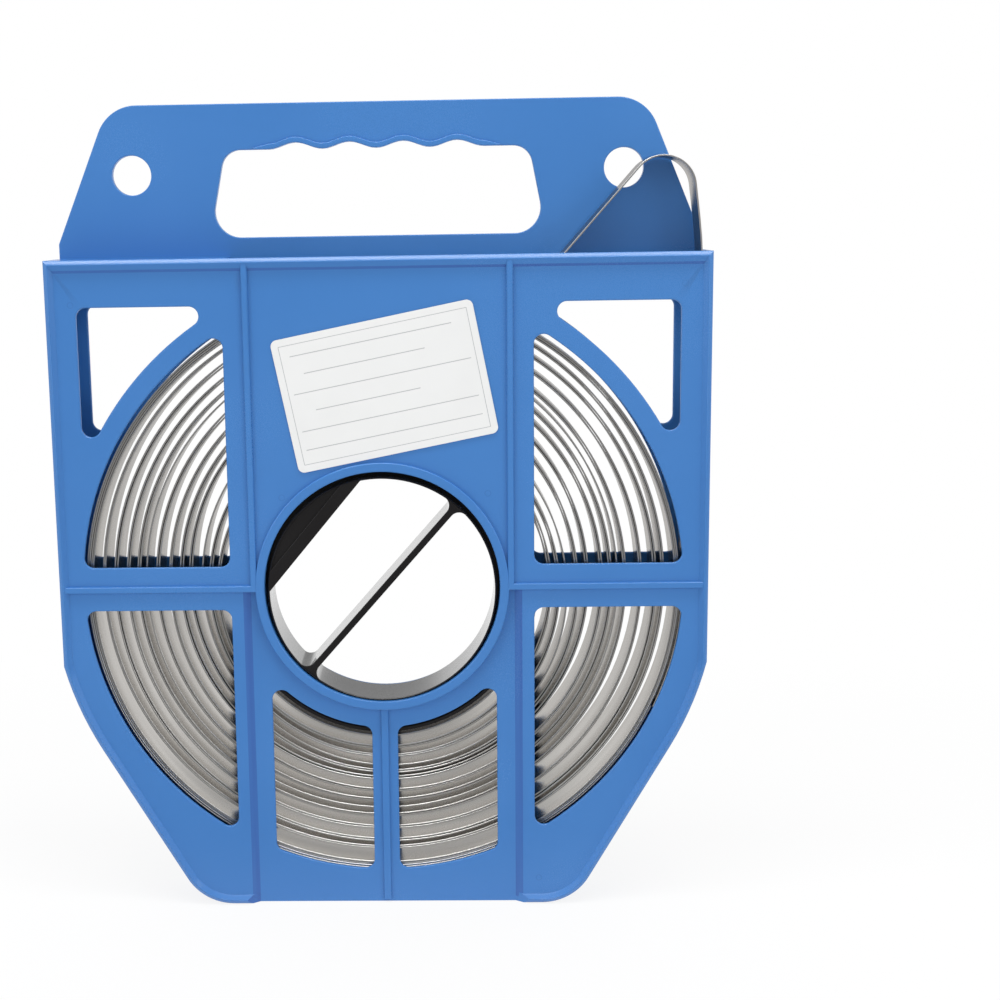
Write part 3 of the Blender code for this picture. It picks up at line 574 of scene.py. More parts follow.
class Socket:
    """A shader socket that takes part in arithmetic, by adding Math nodes."""

    def __init__(self, nodes: "Nodes", link: bpy.types.NodeSocket) -> None:
        """Wrap an output socket of a node tree."""
        self.nodes, self.link = nodes, link

    def _math(self, operation: str, *terms: "Socket | float") -> "Socket":
        """Add a Math node."""
        inputs = dict(enumerate(terms))
        return self.nodes.node("ShaderNodeMath", {"operation": operation}, inputs)[0]

    def __add__(self, other: "Socket | float") -> "Socket":
        """The sum."""
        return self._math("ADD", self, other)

    def __sub__(self, other: "Socket | float") -> "Socket":
        """The difference."""
        return self._math("SUBTRACT", self, other)

    def __mul__(self, other: "Socket | float") -> "Socket":
        """The product."""
        return self._math("MULTIPLY", self, other)

    def __truediv__(self, other: "Socket | float") -> "Socket":
        """The quotient."""
        return self._math("DIVIDE", self, other)

    def __rsub__(self, other: float) -> "Socket":
        """The difference, from a number."""
        return self._math("SUBTRACT", other, self)

    def __neg__(self) -> "Socket":
        """The opposite."""
        return self._math("MULTIPLY", self, -1.0)

    __radd__, __rmul__ = __add__, __mul__

    def __abs__(self) -> "Socket":
        """The size without its sign."""
        return self._math("ABSOLUTE", self)

    def above(self, limit: "Socket | float") -> "Socket":
        """1 where the value is above a limit, and 0 elsewhere."""
        return self._math("GREATER_THAN", self, limit)

    def below(self, limit: "Socket | float") -> "Socket":
        """1 where the value is below a limit, and 0 elsewhere."""
        return self._math("LESS_THAN", self, limit)

    def either(self, other: "Socket | float") -> "Socket":
        """The larger of two values."""
        return self._math("MAXIMUM", self, other)

    def ramp(self, low: float, high: float, start: float = 0.0, end: float = 1.0) -> "Socket":
        """The value's smooth way from low to high, as start to end."""
        inputs = {0: self, 1: low, 2: high, 3: start, 4: end}
        settings = {"interpolation_type": "SMOOTHSTEP"}
        return self.nodes.node("ShaderNodeMapRange", settings, inputs)[0]


class Nodes:
    """A node tree, with one method that adds every node."""

    def __init__(self, tree: bpy.types.NodeTree) -> None:
        """Wrap a material's or a world's node tree."""
        self.tree = tree

    def put(self, target: bpy.types.NodeSocket, value: object) -> None:
        """Link a socket to a node's input, or set the input's value."""
        if isinstance(value, Socket):
            self.tree.links.new(value.link, target)
        elif isinstance(value, tuple) and len(value) == 3 and target.type == "RGBA":
            target.default_value = (*value, 1.0)
        else:
            target.default_value = value

    def node(self, kind: str, settings: dict[str, object], inputs: dict[object, object]) -> list[Socket]:
        """Add a node of any kind.

        Args:
            kind: The node's type.
            settings: Its settings, which are set first.
            inputs: The values or links of its sockets, by name or number.

        Returns:
            Its outputs.
        """
        made = self.tree.nodes.new(kind)
        for name, value in settings.items():
            setattr(made, name, value)
        for name, value in inputs.items():
            self.put(made.inputs[name], value)
        return [Socket(self, output) for output in made.outputs]

    def glow(self, colour: Colour) -> Socket:
        """A shader that gives off light of a colour."""
        return self.node("ShaderNodeEmission", {}, {"Color": colour, "Strength": 1.0})[0]

    def blend(self, factor: Socket, first: Socket, second: Socket) -> Socket:
        """A shader between two shaders."""
        return self.node("ShaderNodeMixShader", {}, {0: factor, 1: first, 2: second})[0]

    def axes(self, where: Socket) -> list[Socket]:
        """The three parts of a place or a direction."""
        return self.node("ShaderNodeSeparateXYZ", {}, {0: where})

    def rays(self) -> tuple[Socket, Socket]:
        """Whether a ray comes from the camera, and whether it is a reflection or goes through glass."""
        path = self.node("ShaderNodeLightPath", {}, {})
        names = [socket.link.name for socket in path]
        shiny, through = path[names.index("Is Glossy Ray")], path[names.index("Is Transmission Ray")]
        return path[names.index("Is Camera Ray")], shiny.either(through)


class Paint(Nodes):
    """A material's node tree, which starts with a Principled shader."""

    def __init__(self, name: str) -> None:
        """Start a material."""
        self.material = bpy.data.materials.new(name)
        self.material.use_nodes = True
        super().__init__(self.material.node_tree)
        self.shader = self.tree.nodes["Principled BSDF"]
        self.output = self.tree.nodes["Material Output"]

    def place(self) -> Socket:
        """The place on the piece, in metres."""
        return self.node("ShaderNodeTexCoord", {}, {})[3]

    def surface(self) -> Socket:
        """The piece's own map along its surface."""
        return self.node("ShaderNodeTexCoord", {}, {})[2]

    def mapped(self, where: Socket, scale: Colour, turn: float = 0.0) -> Socket:
        """A place that is stretched, and turned about y in degrees."""
        inputs = {"Vector": where, "Scale": scale, "Rotation": (0.0, math.radians(turn), 0.0)}
        return self.node("ShaderNodeMapping", {"vector_type": "TEXTURE" if turn else "POINT"}, inputs)[0]

    def noise(self, where: Socket, scale: float, detail: float = 2.0, roughness: float = 0.5) -> Socket:
        """Soft noise of a scale, from 0 to 1."""
        inputs = {"Vector": where, "Scale": scale, "Detail": detail, "Roughness": roughness}
        return self.node("ShaderNodeTexNoise", {}, inputs)[0]

    def mix(self, factor: Socket | float, first: object, second: object, how: str = "MIX") -> Socket:
        """A colour between two colours."""
        settings = {"data_type": "RGBA", "blend_type": how}
        inputs = {0: factor, 6: first, 7: second}
        return self.node("ShaderNodeMix", settings, inputs)[2]

    def bump(self, height: Socket, distance: float, strength: float = 1.0) -> Socket:
        """A normal that follows a height."""
        inputs = {"Strength": strength, "Distance": distance, "Height": height}
        return self.node("ShaderNodeBump", {}, inputs)[0]

    def finish(self, **inputs: object) -> bpy.types.Material:
        """Set the Principled shader's inputs, with _ for a space in their names."""
        for name, value in inputs.items():
            self.put(self.shader.inputs[name.replace("_", " ")], value)
        return self.material


@dataclass(frozen=True)
class MouldedPlastic:
    """Injection-moulded plastic: nearly even, with faint flow clouds and a fine satin grain.

    Its marks are the rings that ejector pins leave. Its tone is a mesh attribute that is 1 on
    faces that get painted shade or a painted sheen, a colour streaked by noise; those faces are
    polished where polish is above 0.
    """

    name: str
    colour: Colour
    cloud: Colour
    roughness: float
    gloss: float = 0.5
    marks: tuple[Point, ...] = ()
    mark_colour: Colour = (0.0, 0.0, 0.0)
    tone: str = ""
    painted_light_colour: Colour = (0.0, 0.0, 0.0)
    polish: float = 0.0

    def make(self) -> bpy.types.Material:
        """Build the material."""
        paint = Paint(self.name)
        where = paint.place()
        clouds = paint.noise(where, 9.0, 2.0).ramp(0.35, 0.65)
        grain = paint.noise(where, 2600.0, 2.0)
        streaks = paint.noise(paint.mapped(where, (14.0, 14.0, 70.0)), 1.0, 3.0).ramp(0.4, 0.75)
        colour = paint.mix(clouds, self.colour, self.cloud)
        colour = paint.mix(streaks * 0.25, colour, self.colour)
        height = grain * 0.25
        if self.marks:
            x, _, z = paint.axes(where)
            near, far, soft = 0.0011, 0.0015, 0.0001
            rings = None
            for across, up in self.marks:
                dx, dz = x - across, z - up
                squared = dx * dx + dz * dz
                ring = squared.ramp(near**2, (near + soft) ** 2)
                ring *= squared.ramp(far**2, (far + soft) ** 2, 1.0, 0.0)
                rings = ring if rings is None else rings.either(ring)
            colour = paint.mix(rings * 0.4, colour, self.mark_colour)
            height = height - rings * 1.5
        roughness = clouds * 0.05 + (self.roughness - 0.025) + (grain - 0.5) * 0.06
        # Painted light: where the tone attribute is 1, the colour turns to the tone's colour, streaked by
        # noise. This is painted shade on the blue cover and a painted sheen on the black core.
        if self.tone:
            tone = paint.node("ShaderNodeAttribute", {"attribute_name": self.tone}, {})[2]
            tone_streaks = paint.noise(paint.mapped(where, (1.0, 60.0, 1.0)), 12.0, 3.0).ramp(0.3, 0.7, 0.7, 1.0)
            colour = paint.mix(tone * tone_streaks, colour, self.painted_light_colour)
            if self.polish:
                paint.finish(Coat_Weight=tone * self.polish, Coat_Roughness=0.1, Coat_IOR=1.6)
        return paint.finish(
            Base_Color=colour,
            Roughness=roughness,
            Normal=paint.bump(height, 0.00004, 0.5),
            Specular_IOR_Level=self.gloss,
        )


@dataclass(frozen=True)
class RolledSteel:
    """Cold-rolled stainless strip: fine lines along it, soft clouds and slightly rough slit edges."""

    name: str
    colour: Colour
    shade: Colour
    rim: Colour
    roughness: float
    length: float
    width: float

    def make(self) -> bpy.types.Material:
        """Build the material, which follows the strip's own map."""
        paint = Paint(self.name)
        run = paint.mapped(paint.surface(), (self.length, self.width, 1.0))
        lines = paint.noise(paint.mapped(run, (2.5, 5200.0, 1.0)), 1.0, 3.0)
        clouds = paint.noise(paint.mapped(run, (11.0, 60.0, 1.0)), 1.0, 2.0)
        across = paint.axes(paint.surface())[1]
        edge = abs(across - 0.5).ramp(0.46, 0.5)
        colour = paint.mix(clouds.ramp(0.3, 0.7), self.colour, self.shade)
        colour = paint.mix(lines.ramp(0.55, 0.8) * 0.35, colour, tuple(0.72 * c for c in self.colour))
        roughness = (lines - 0.5) * 0.14 + clouds * 0.06 + self.roughness + edge * 0.08
        height = lines * 0.6 + clouds * 0.3
        return paint.finish(
            Base_Color=colour,
            Metallic=1.0,
            Roughness=roughness,
            Specular_Tint=(*self.rim, 1.0),
            Normal=paint.bump(height, 0.00002, 0.6),
        )


@dataclass(frozen=True)
class CoatedPaper:
    """A white label with a faint fibre, ruled with plain grey lines and left unwritten.

    Each row has its height on the label and its half length, as shares of the label's size.
    """

    name: str
    colour: Colour
    rule: Colour
    centre: Point
    turn: float
    size: Point
    rows: tuple[Point, ...] = (
        (0.36, 0.40), (0.22, 0.30), (0.08, 0.44), (-0.06, 0.26), (-0.20, 0.44), (-0.34, 0.44),
    )
    stroke: float = 0.00018
    margin: Point = (0.465, 0.445)
    frame_stroke: float = 0.00014

    def make(self) -> bpy.types.Material:
        """Build the material."""
        paint = Paint(self.name)
        where = paint.place()
        fibre = paint.noise(where, 900.0, 4.0)
        blotch = paint.noise(where, 40.0, 2.0).ramp(0.3, 0.7)
        settings = {"vector_type": "TEXTURE"}
        inputs = {
            "Vector": where,
            "Location": (self.centre[0], 0.0, self.centre[1]),
            "Rotation": (0.0, -math.radians(self.turn), 0.0),
        }
        x, _, z = paint.axes(paint.node("ShaderNodeMapping", settings, inputs)[0])
        width, height = self.size
        ink = None
        for level, reach in self.rows:
            middle = (0.44 - reach) * width / 2
            row = abs(z - level * height).below(self.stroke) * abs(x + middle).below(reach * width)
            ink = row if ink is None else ink.either(row)
        side, top = self.margin[0] * width, self.margin[1] * height
        for along, end, across, limit in ((z, top, x, side), (x, side, z, top)):
            edge = abs(abs(across) - limit).below(self.frame_stroke) * abs(along).below(end)
            ink = ink.either(edge)
        ink = ink * 0.75
        colour = paint.mix(blotch * 0.5, self.colour, tuple(0.96 * c for c in self.colour))
        colour = paint.mix(ink, colour, self.rule)
        return paint.finish(
            Base_Color=colour,
            Roughness=fibre * 0.1 + 0.42,
            Normal=paint.bump(fibre, 0.00003, 0.4),
            Coat_Weight=0.15,
            Coat_Roughness=0.3,
        )


BLUE = MouldedPlastic(
    "blue_moulding",
    colour=(0.050, 0.197, 0.522),
    cloud=(0.056, 0.211, 0.548),
    roughness=0.25,
    marks=((-0.1414, 0.2925), (0.1405, 0.2985), (0.0736, 0.0126), (-0.0463, 0.2015), (0.0501, 0.2025)),
    mark_colour=(0.04, 0.15, 0.42),
    # The shaded faces get painted shade: a darker blue on the recess's slopes and under the top edge's
    # slope.
    tone="shaded",
    painted_light_colour=(0.040, 0.130, 0.42),
)
BLACK = MouldedPlastic(
    "black_moulding",
    colour=(0.010, 0.009, 0.0095),
    cloud=(0.014, 0.013, 0.0135),
    roughness=0.26,
    gloss=0.3,
    # The marked side faces of the core get a painted sheen: a lighter grey than the black, with a coat on
    # them.
    tone="side_sheen",
    painted_light_colour=(0.045, 0.045, 0.046),
    polish=1.0,
)
STEEL = (0.80, 0.785, 0.76), (0.70, 0.685, 0.66), (0.55, 0.54, 0.53)
COIL_STEEL = RolledSteel("coil_steel", *STEEL, roughness=0.20, length=18.7, width=0.019)
END_STEEL = RolledSteel("end_steel", *STEEL, roughness=0.20, length=0.34, width=0.019)


# Sub-assemblies


CREST_BENDS = ((0.0004, 0, 46), (0.0105, 46, 58), (0.0006, 58, 90))
CREST_STEPS = 3
CREST_INNER = 0.0002
QUARTER = [math.radians(30 * i) for i in range(4)]
SEAM = 0.00025
LAP = 0.0003
BURIED = 0.0005
WELDED = 2e-5
SLIT_EDGE = 0.00015


def crest() -> list[Point]:
    """The outer side of a wall's crest, as points of distance inwards and height.

    Returns:
        The points along its bends, each of which has a radius and its first and last angle.
    """
    points, across, up = [], 0.0, 0.0
    for radius, first, last in CREST_BENDS:
        start = math.radians(first)
        turns = [math.radians(first + (last - first) * i / CREST_STEPS) for i in range(CREST_STEPS + 1)]
        bend = [
            (
                across + radius * (math.cos(start) - math.cos(turn)),
                up + radius * (math.sin(turn) - math.sin(start)),
            )
            for turn in turns
        ]
        points += bend[:-1]
        across, up = bend[-1]
    return points + [(across, up)]


def wall_section(face: float, foot: float, wall: float) -> list[Point]:
    """The outer side and the crest of a wall, which is rounded most on its outer side.

    Args:
        face: The level of the crest.
        foot: The level where the wall starts.
        wall: Its thickness at the crest.

    Returns:
        The points of distance inwards and level, from the foot over the crest to the inner edge.
    """
    way, outer = math.copysign(1.0, face - foot), crest()
    height = outer[-1][1]
    points = [(SEAM, foot), (0.0, foot + way * SEAM)]
    points += [(across, face - way * (height - up)) for across, up in outer]
    for turn in QUARTER:
        inwards = wall - CREST_INNER * (1 - math.sin(turn))
        points.append((inwards, face - way * CREST_INNER * (1 - math.cos(turn))))
    return points


def collar_section(half: Half, levels: Levels, inner_end: float, plate: float) -> list[Point]:
    """The collar round the hub and the sleeve behind it, as points of radius and level.

    Args:
        half: The half of the case.
        levels: The case's levels.
        inner_end: Where the sleeve ends, inside the case.
        plate: Where the ring ends, in the plate.

    Returns:
        The points, in order round the section.
    """
    bore, ring, sleeve, r = 0.0555, 0.0598, 0.0577, 0.0007
    face = levels.front if half is Half.FRONT else levels.rear
    way = -half.value
    dips = [(r * (1 - math.cos(turn)), r * (1 - math.sin(turn))) for turn in QUARTER]
    points = [(bore, inner_end)] + [(bore + near, face + way * far) for near, far in dips]
    points += [(ring - far, face + way * near) for near, far in dips]
    return points + [(ring + 0.0002, plate), (sleeve, plate), (sleeve, inner_end)]


def straight_ribs(
    shape: CaseShape, upright: Point, level: Point, foot: Point
) -> list[bpy.types.Object]:
    """The straight ribs of one half: two upright, two level and one under the hub.

    Args:
        shape: The case's shape.
        upright: The levels of the upright ribs' base and top.
        level: The levels of the level ribs' base and top.
        foot: The levels of the base and top of the rib under the hub.

    Returns:
        The five ribs.
    """
    half, side, hub = shape.rib_half, shape.width / 2 - shape.plate_inset, shape.hub
    made = []
    for sign in (-1, 1):
        near, far = sign * (shape.rib_x - half), sign * (shape.rib_x + half)
        made.append(bar("upright", sorted((near, far)), (hub - half, shape.top - 0.002), upright))
        made.append(bar("level", sorted((near, sign * side)), (hub - half, hub + half), level))
    across = (-shape.foot_rib_half, shape.foot_rib_half)
    made.append(bar("middle", across, (0.001, hub - shape.foot_rib_radius), foot))
    return made


def posts(shape: CaseShape, near: float, far: float) -> list[bpy.types.Object]:
    """The round posts at the corners, between two levels."""
    outlines = [lifted(circle(shape.post_radius, 32), z, x) for x, z in shape.post_places()]
    return [flat("post", [outline], near, far, 0.0003) for outline in outlines]


def strap_slot(shape: CaseShape, near: float, far: float) -> bpy.types.Object:
    """The slot in the top that the strap comes out of, as a block to cut away."""
    height = (shape.top - shape.slot_depth, shape.top + 0.0005)
    return bar("slot", shape.slot_ends, height, (near, far), 0.0, 0.0)


@dataclass
class FrontCover:
    """The front moulding: a stepped plate with windows, its rim, ribs, collar and posts."""

    shape: CaseShape
    levels: Levels
    finish: bpy.types.Material
    recess: float = 0.002
    recess_slope: float = 0.0035
    slope: float = 0.0021
    top_slope: float = 1.76
    crease: Point = (0.0012, 0.00075)
    sleeve_gap: float = 0.00225
    rib_drop: float = 0.0003
    foot_rib: Point = (0.001, 0.0013)
    edge: float = 0.0007

    def plate(self) -> bpy.types.Object:
        """The plate with its windows, sunk below the hub down to the foot."""
        at, half = self.levels, self.shape.rib_half
        inner = self.shape.rib_x + half
        outer, low, high = inner + self.recess_slope, self.shape.hub - half, self.shape.hub
        made = flat("front_case", self.shape.plate(), at.panel_out, at.panel_in, self.edge)
        with editing(made):
            cuts = [((0, 0, z), (0, 0, 1)) for z in (low, high)]
            cuts += [((x, 0, 0), (1, 0, 0)) for x in (-outer, -inner, inner, outer)]
            for place, normal in cuts:
                bpy.ops.mesh.select_all(action="SELECT")
                bpy.ops.mesh.bisect(plane_co=place, plane_no=normal, threshold=1e-6)
            pick(made, Element.POINTS, lambda p, _: abs(p.x) < inner + 1e-5 and p.z < low + 1e-5)
            bpy.ops.transform.translate(value=(0.0, self.recess, 0.0))
        return weld(made)

    def rim(self) -> bpy.types.Object:
        """The wall round the cover with its sloping inner side, open where the recess runs out."""
        at, wall = self.levels, self.shape.wall
        section = wall_section(at.front, at.parting, wall)
        section += [
            (wall + self.crease[0], at.panel_out - self.crease[1]),
            (wall + self.slope, at.panel_out + 0.0002),
            (wall + self.slope, at.panel_out + 0.001),
            (wall, at.panel_out + 0.0012),
            (wall, at.parting),
        ]

        def outline_of(inwards: float) -> Outline:
            """The case's outline, with the wider slope along its top."""
            beyond = max(0.0, inwards - wall + 0.0001)
            return self.shape.outline(inwards, inwards + (self.top_slope - 1) * beyond)

        made = rail("front_rim", outline_of, section)
        inner = self.shape.rib_x + self.shape.rib_half
        floor = at.panel_out + self.recess
        mouth = inner + self.recess_slope * (floor - at.front) / self.recess
        block = bar("mouth", (-mouth, mouth), (-0.001, 0.0085), (at.front - 0.0006, floor), 0.0, 0.0)
        with editing(block):
            for side in (-1.0, 1.0):
                pick(block, Element.POINTS, lambda p, _: p.x * side > 0 and p.y > floor - 1e-4)
                bpy.ops.transform.translate(value=(-side * (mouth - inner), 0.0, 0.0))
        put_together(made, Joining.CUT, [weld(block)])
        return made

    def ribs(self) -> list[bpy.types.Object]:
        """The straight ribs, which stand a little lower than the rim."""
        at = self.levels
        root, rise = self.foot_rib
        base, top, floor = at.panel_out + root, at.front + self.rib_drop, at.panel_out + self.recess
        foot = (floor + root, floor - rise)
        return straight_ribs(self.shape, (base, top), (base, top + WELDED), foot)

    def shaded(self, place: Vector, normal: Vector) -> bool:
        """Whether a face gets painted shade: on the recess's slopes or at the foot of the top edge's
        slope.
        """
        shape, soft = self.shape, 5e-5
        near = shape.rib_x + shape.rib_half
        aside = near - soft < abs(place.x) < near + self.recess_slope + soft
        recess = aside and place.z < shape.hub - shape.rib_half + soft
        under = shape.top - shape.wall - self.slope
        foot = under - 0.002 < place.z < under and place.y > self.levels.panel_out - self.crease[1]
        return (recess and 0.3 < abs(normal.x) < 0.6) or (foot and normal.z < -0.3)

    def build(self) -> bpy.types.Object:
        """Build the cover and dress it."""
        at, made = self.levels, self.plate()
        section = collar_section(Half.FRONT, at, at.parting - self.sleeve_gap, at.floor_in - BURIED)
        collar = turned("front_collar", section, self.shape.hub)
        parts = [self.rim(), collar, *self.ribs()]
        parts += posts(self.shape, at.panel_in - BURIED, at.parting)
        put_together(made, Joining.FUSE, parts)
        slot = strap_slot(self.shape, at.parting + BURIED, at.panel_in)
        put_together(made, Joining.CUT, [slot])
        smooth(weld(made))
        # Painted shade: faces on the recess's slopes and under the top edge's slope are marked for a
        # darker blue.
        toned(made, "shaded", self.shaded)
        dress(made, self.finish, "case", "blue_plastic", "front_cover")
        return made


@dataclass
class Handle:
    """The handle on the back moulding: grip opening, finger lip, hang holes and rear rims."""

    shape: CaseShape
    levels: Levels
    base_width: float = 0.302
    height: float = 0.0705
    foot: float = 0.007
    lean: float = 0.0261
    corner: float = 0.0195
    grip_low: float = 0.0089
    grip_high: float = 0.0493
    grip_top: float = 0.142
    grip_bottom: float = 0.158
    fingers: int = 4
    pitch: float = 0.0251
    groove: float = 0.003
    lip_run: float = 0.0075
    lip_height: float = 0.0026
    hang_x: float = 0.115
    hang_z: float = 0.3514
    hang_radius: float = 0.0092
    boss_radius: float = 0.0116
    lower_corner: float = 0.012
    upper_corner: float = 0.009
    rim_width: float = 0.0026
    rim_lift: float = 0.003
    raised: float = 0.0006
    edge: float = 0.0005

    def outline(self, inset: float = 0.0, drop: float = 0.0012) -> Outline:
        """The handle's own edge, from its right foot to its left foot.

        Args:
            inset: How far it is moved inwards.
            drop: How far its feet go down into the case.

        Returns:
            The line, with as many points for any inset.
        """
        slope = math.atan2(self.lean, self.height - self.foot)
        foot_x = self.base_width / 2 - inset
        knee = (foot_x, self.shape.top + self.foot - inset * math.tan(slope / 2))
        high = self.shape.top + self.height - inset
        side_x = foot_x - (high - knee[1]) * math.tan(slope)
        corners = [(*knee, 0.0), (side_x, high, self.corner - inset), (0.0, high, 0.0)]
        corner = rounded_polygon(corners, 5.0)
        right = [(foot_x, self.shape.top - drop), knee]
        right += [p for p in corner if p[0] > 1e-6 and p[1] > knee[1] + 1e-6]
        return right + mirrored(right)[::-1]

    def wave(self, grow: float = 0.0) -> Outline:
        """Points along the finger grooves, from right to left."""
        half, count = self.fingers * self.pitch / 2, self.fingers * 14
        points = []
        for i in range(count + 1):
            x = half - 2 * half * i / count
            turn = 2 * math.pi * (x + half) / self.pitch
            lift = self.groove * (1 - math.cos(turn)) / 2
            points.append((x, self.shape.top + self.grip_high + lift + grow))
        return points

    def grip(self, grow: float = 0.0, lift: float = 0.0, fingers: bool = True) -> Outline:
        """The grip opening, with its finger grooves or without them.

        Args:
            grow: How far it is grown outwards.
            lift: How much higher its top is.
            fingers: Whether it has the finger grooves.

        Returns:
            The outline.
        """
        top = self.shape.top
        low, high = top + self.grip_low - grow, top + self.grip_high + grow + lift
        lower, upper = self.grip_bottom / 2 + grow, self.grip_top / 2 + grow
        corners = [
            (-lower, low, self.lower_corner + grow),
            (lower, low, self.lower_corner + grow),
            (upper, high, self.upper_corner + grow),
            (-upper, high, self.upper_corner + grow),
        ]
        plain = rounded_polygon(corners)
        if not fingers:
            return plain
        middle = (low + high) / 2
        left = [p for p in plain if p[0] < 0 and p[1] > middle]
        return [p for p in plain if p not in left] + self.wave(grow) + left

    def lip(self) -> Outline:
        """The raised lip that follows the finger grooves, a little inside the opening."""
        wave = self.wave()
        end, base = wave[0][0] + self.lip_run, self.shape.top + self.grip_high
        low, high = base - WELDED, base + self.lip_height * 0.3
        lower = [(-end + 0.001, low), *lifted(wave[::-1], -WELDED), (end - 0.001, low)]
        return lower + [(end, high), *lifted(wave, self.lip_height), (-end, high)]

    def build(self) -> list[bpy.types.Object]:
        """The handle's solids, for the back cover."""
        at, edge, wall = self.levels, self.edge, self.shape.wall
        places = [(self.hang_z, side * self.hang_x) for side in (-1, 1)]
        holes = [lifted(circle(self.hang_radius, 64), *place) for place in places]
        plate = [self.outline(WELDED), self.grip(), *holes]
        out = [flat("handle_plate", plate, at.back_in, at.back_out + LAP, edge)]
        section = wall_section(at.rear, at.back_in + 0.0009, wall)
        foot = wall + self.shape.back_slope
        section += [(foot, at.back_out), (foot, at.back_out - 0.0004), (wall, at.back_out - 0.001)]
        out.append(rail("handle_rim", self.outline, section, closed=False))
        base = at.back_out - self.raised
        rim = [self.grip(self.rim_width, self.rim_lift, fingers=False), self.grip(-WELDED)]
        out.append(flat("grip_rim", rim, base, at.rear, edge))
        out.append(flat("grip_lip", [self.lip()], at.back_in - 0.0012, at.back_in + 0.001, edge))
        for place in places:
            radii = (self.boss_radius, self.hang_radius - WELDED)
            ring = [lifted(circle(radius, 64), *place) for radius in radii]
            out.append(flat("hang_boss", ring, base, at.rear, edge))
        return out


@dataclass
class BackCover:
    """The back moulding: a plate with windows, its wall, ribs, collar and posts, and the handle."""

    shape: CaseShape
    levels: Levels
    finish: bpy.types.Material
    sleeve_gap: float = 0.00225
    rib_drop: float = 0.0003
    foot_rib: Point = (0.001, 0.0013)
    edge: float = 0.0007

    def plate(self) -> bpy.types.Object:
        """The plate with its windows."""
        at = self.levels
        return flat("back_case", self.shape.plate(), at.back_in, at.back_out, self.edge)

    def wall(self) -> bpy.types.Object:
        """The wall round the cover, with its sloping inner side at the rear."""
        at, wall = self.levels, self.shape.wall
        start, foot = at.parting + LAP, wall + self.shape.back_slope
        section = wall_section(at.rear, start, wall)
        section += [(foot, at.back_out - 0.0002), (foot, at.back_out - 0.0008)]
        section += [(wall, at.back_out - 0.001), (wall, start)]
        return rail("back_wall", self.shape.outline, section)

    def ribs(self) -> list[bpy.types.Object]:
        """The straight ribs on the rear side."""
        at = self.levels
        root, rise = self.foot_rib
        base, top = at.back_out - root, at.rear - self.rib_drop
        foot = (base, at.back_out + rise)
        return straight_ribs(self.shape, (base, top), (base, top - WELDED), foot)

    def build(self) -> bpy.types.Object:
        """Build the cover and dress it."""
        at, made = self.levels, self.plate()
        section = collar_section(Half.BACK, at, at.parting + self.sleeve_gap, at.back_in + BURIED)
        collar = turned("back_collar", section, self.shape.hub)
        parts = [self.wall(), collar, *self.ribs()]
        parts += posts(self.shape, at.parting + LAP, at.back_in + BURIED)
        parts += Handle(self.shape, at).build()
        put_together(made, Joining.FUSE, parts)
        slot = strap_slot(self.shape, at.parting - BURIED, at.back_in)
        put_together(made, Joining.CUT, [slot])
        smooth(weld(made))
        dress(made, self.finish, "case", "blue_plastic", "back_cover")
        return made


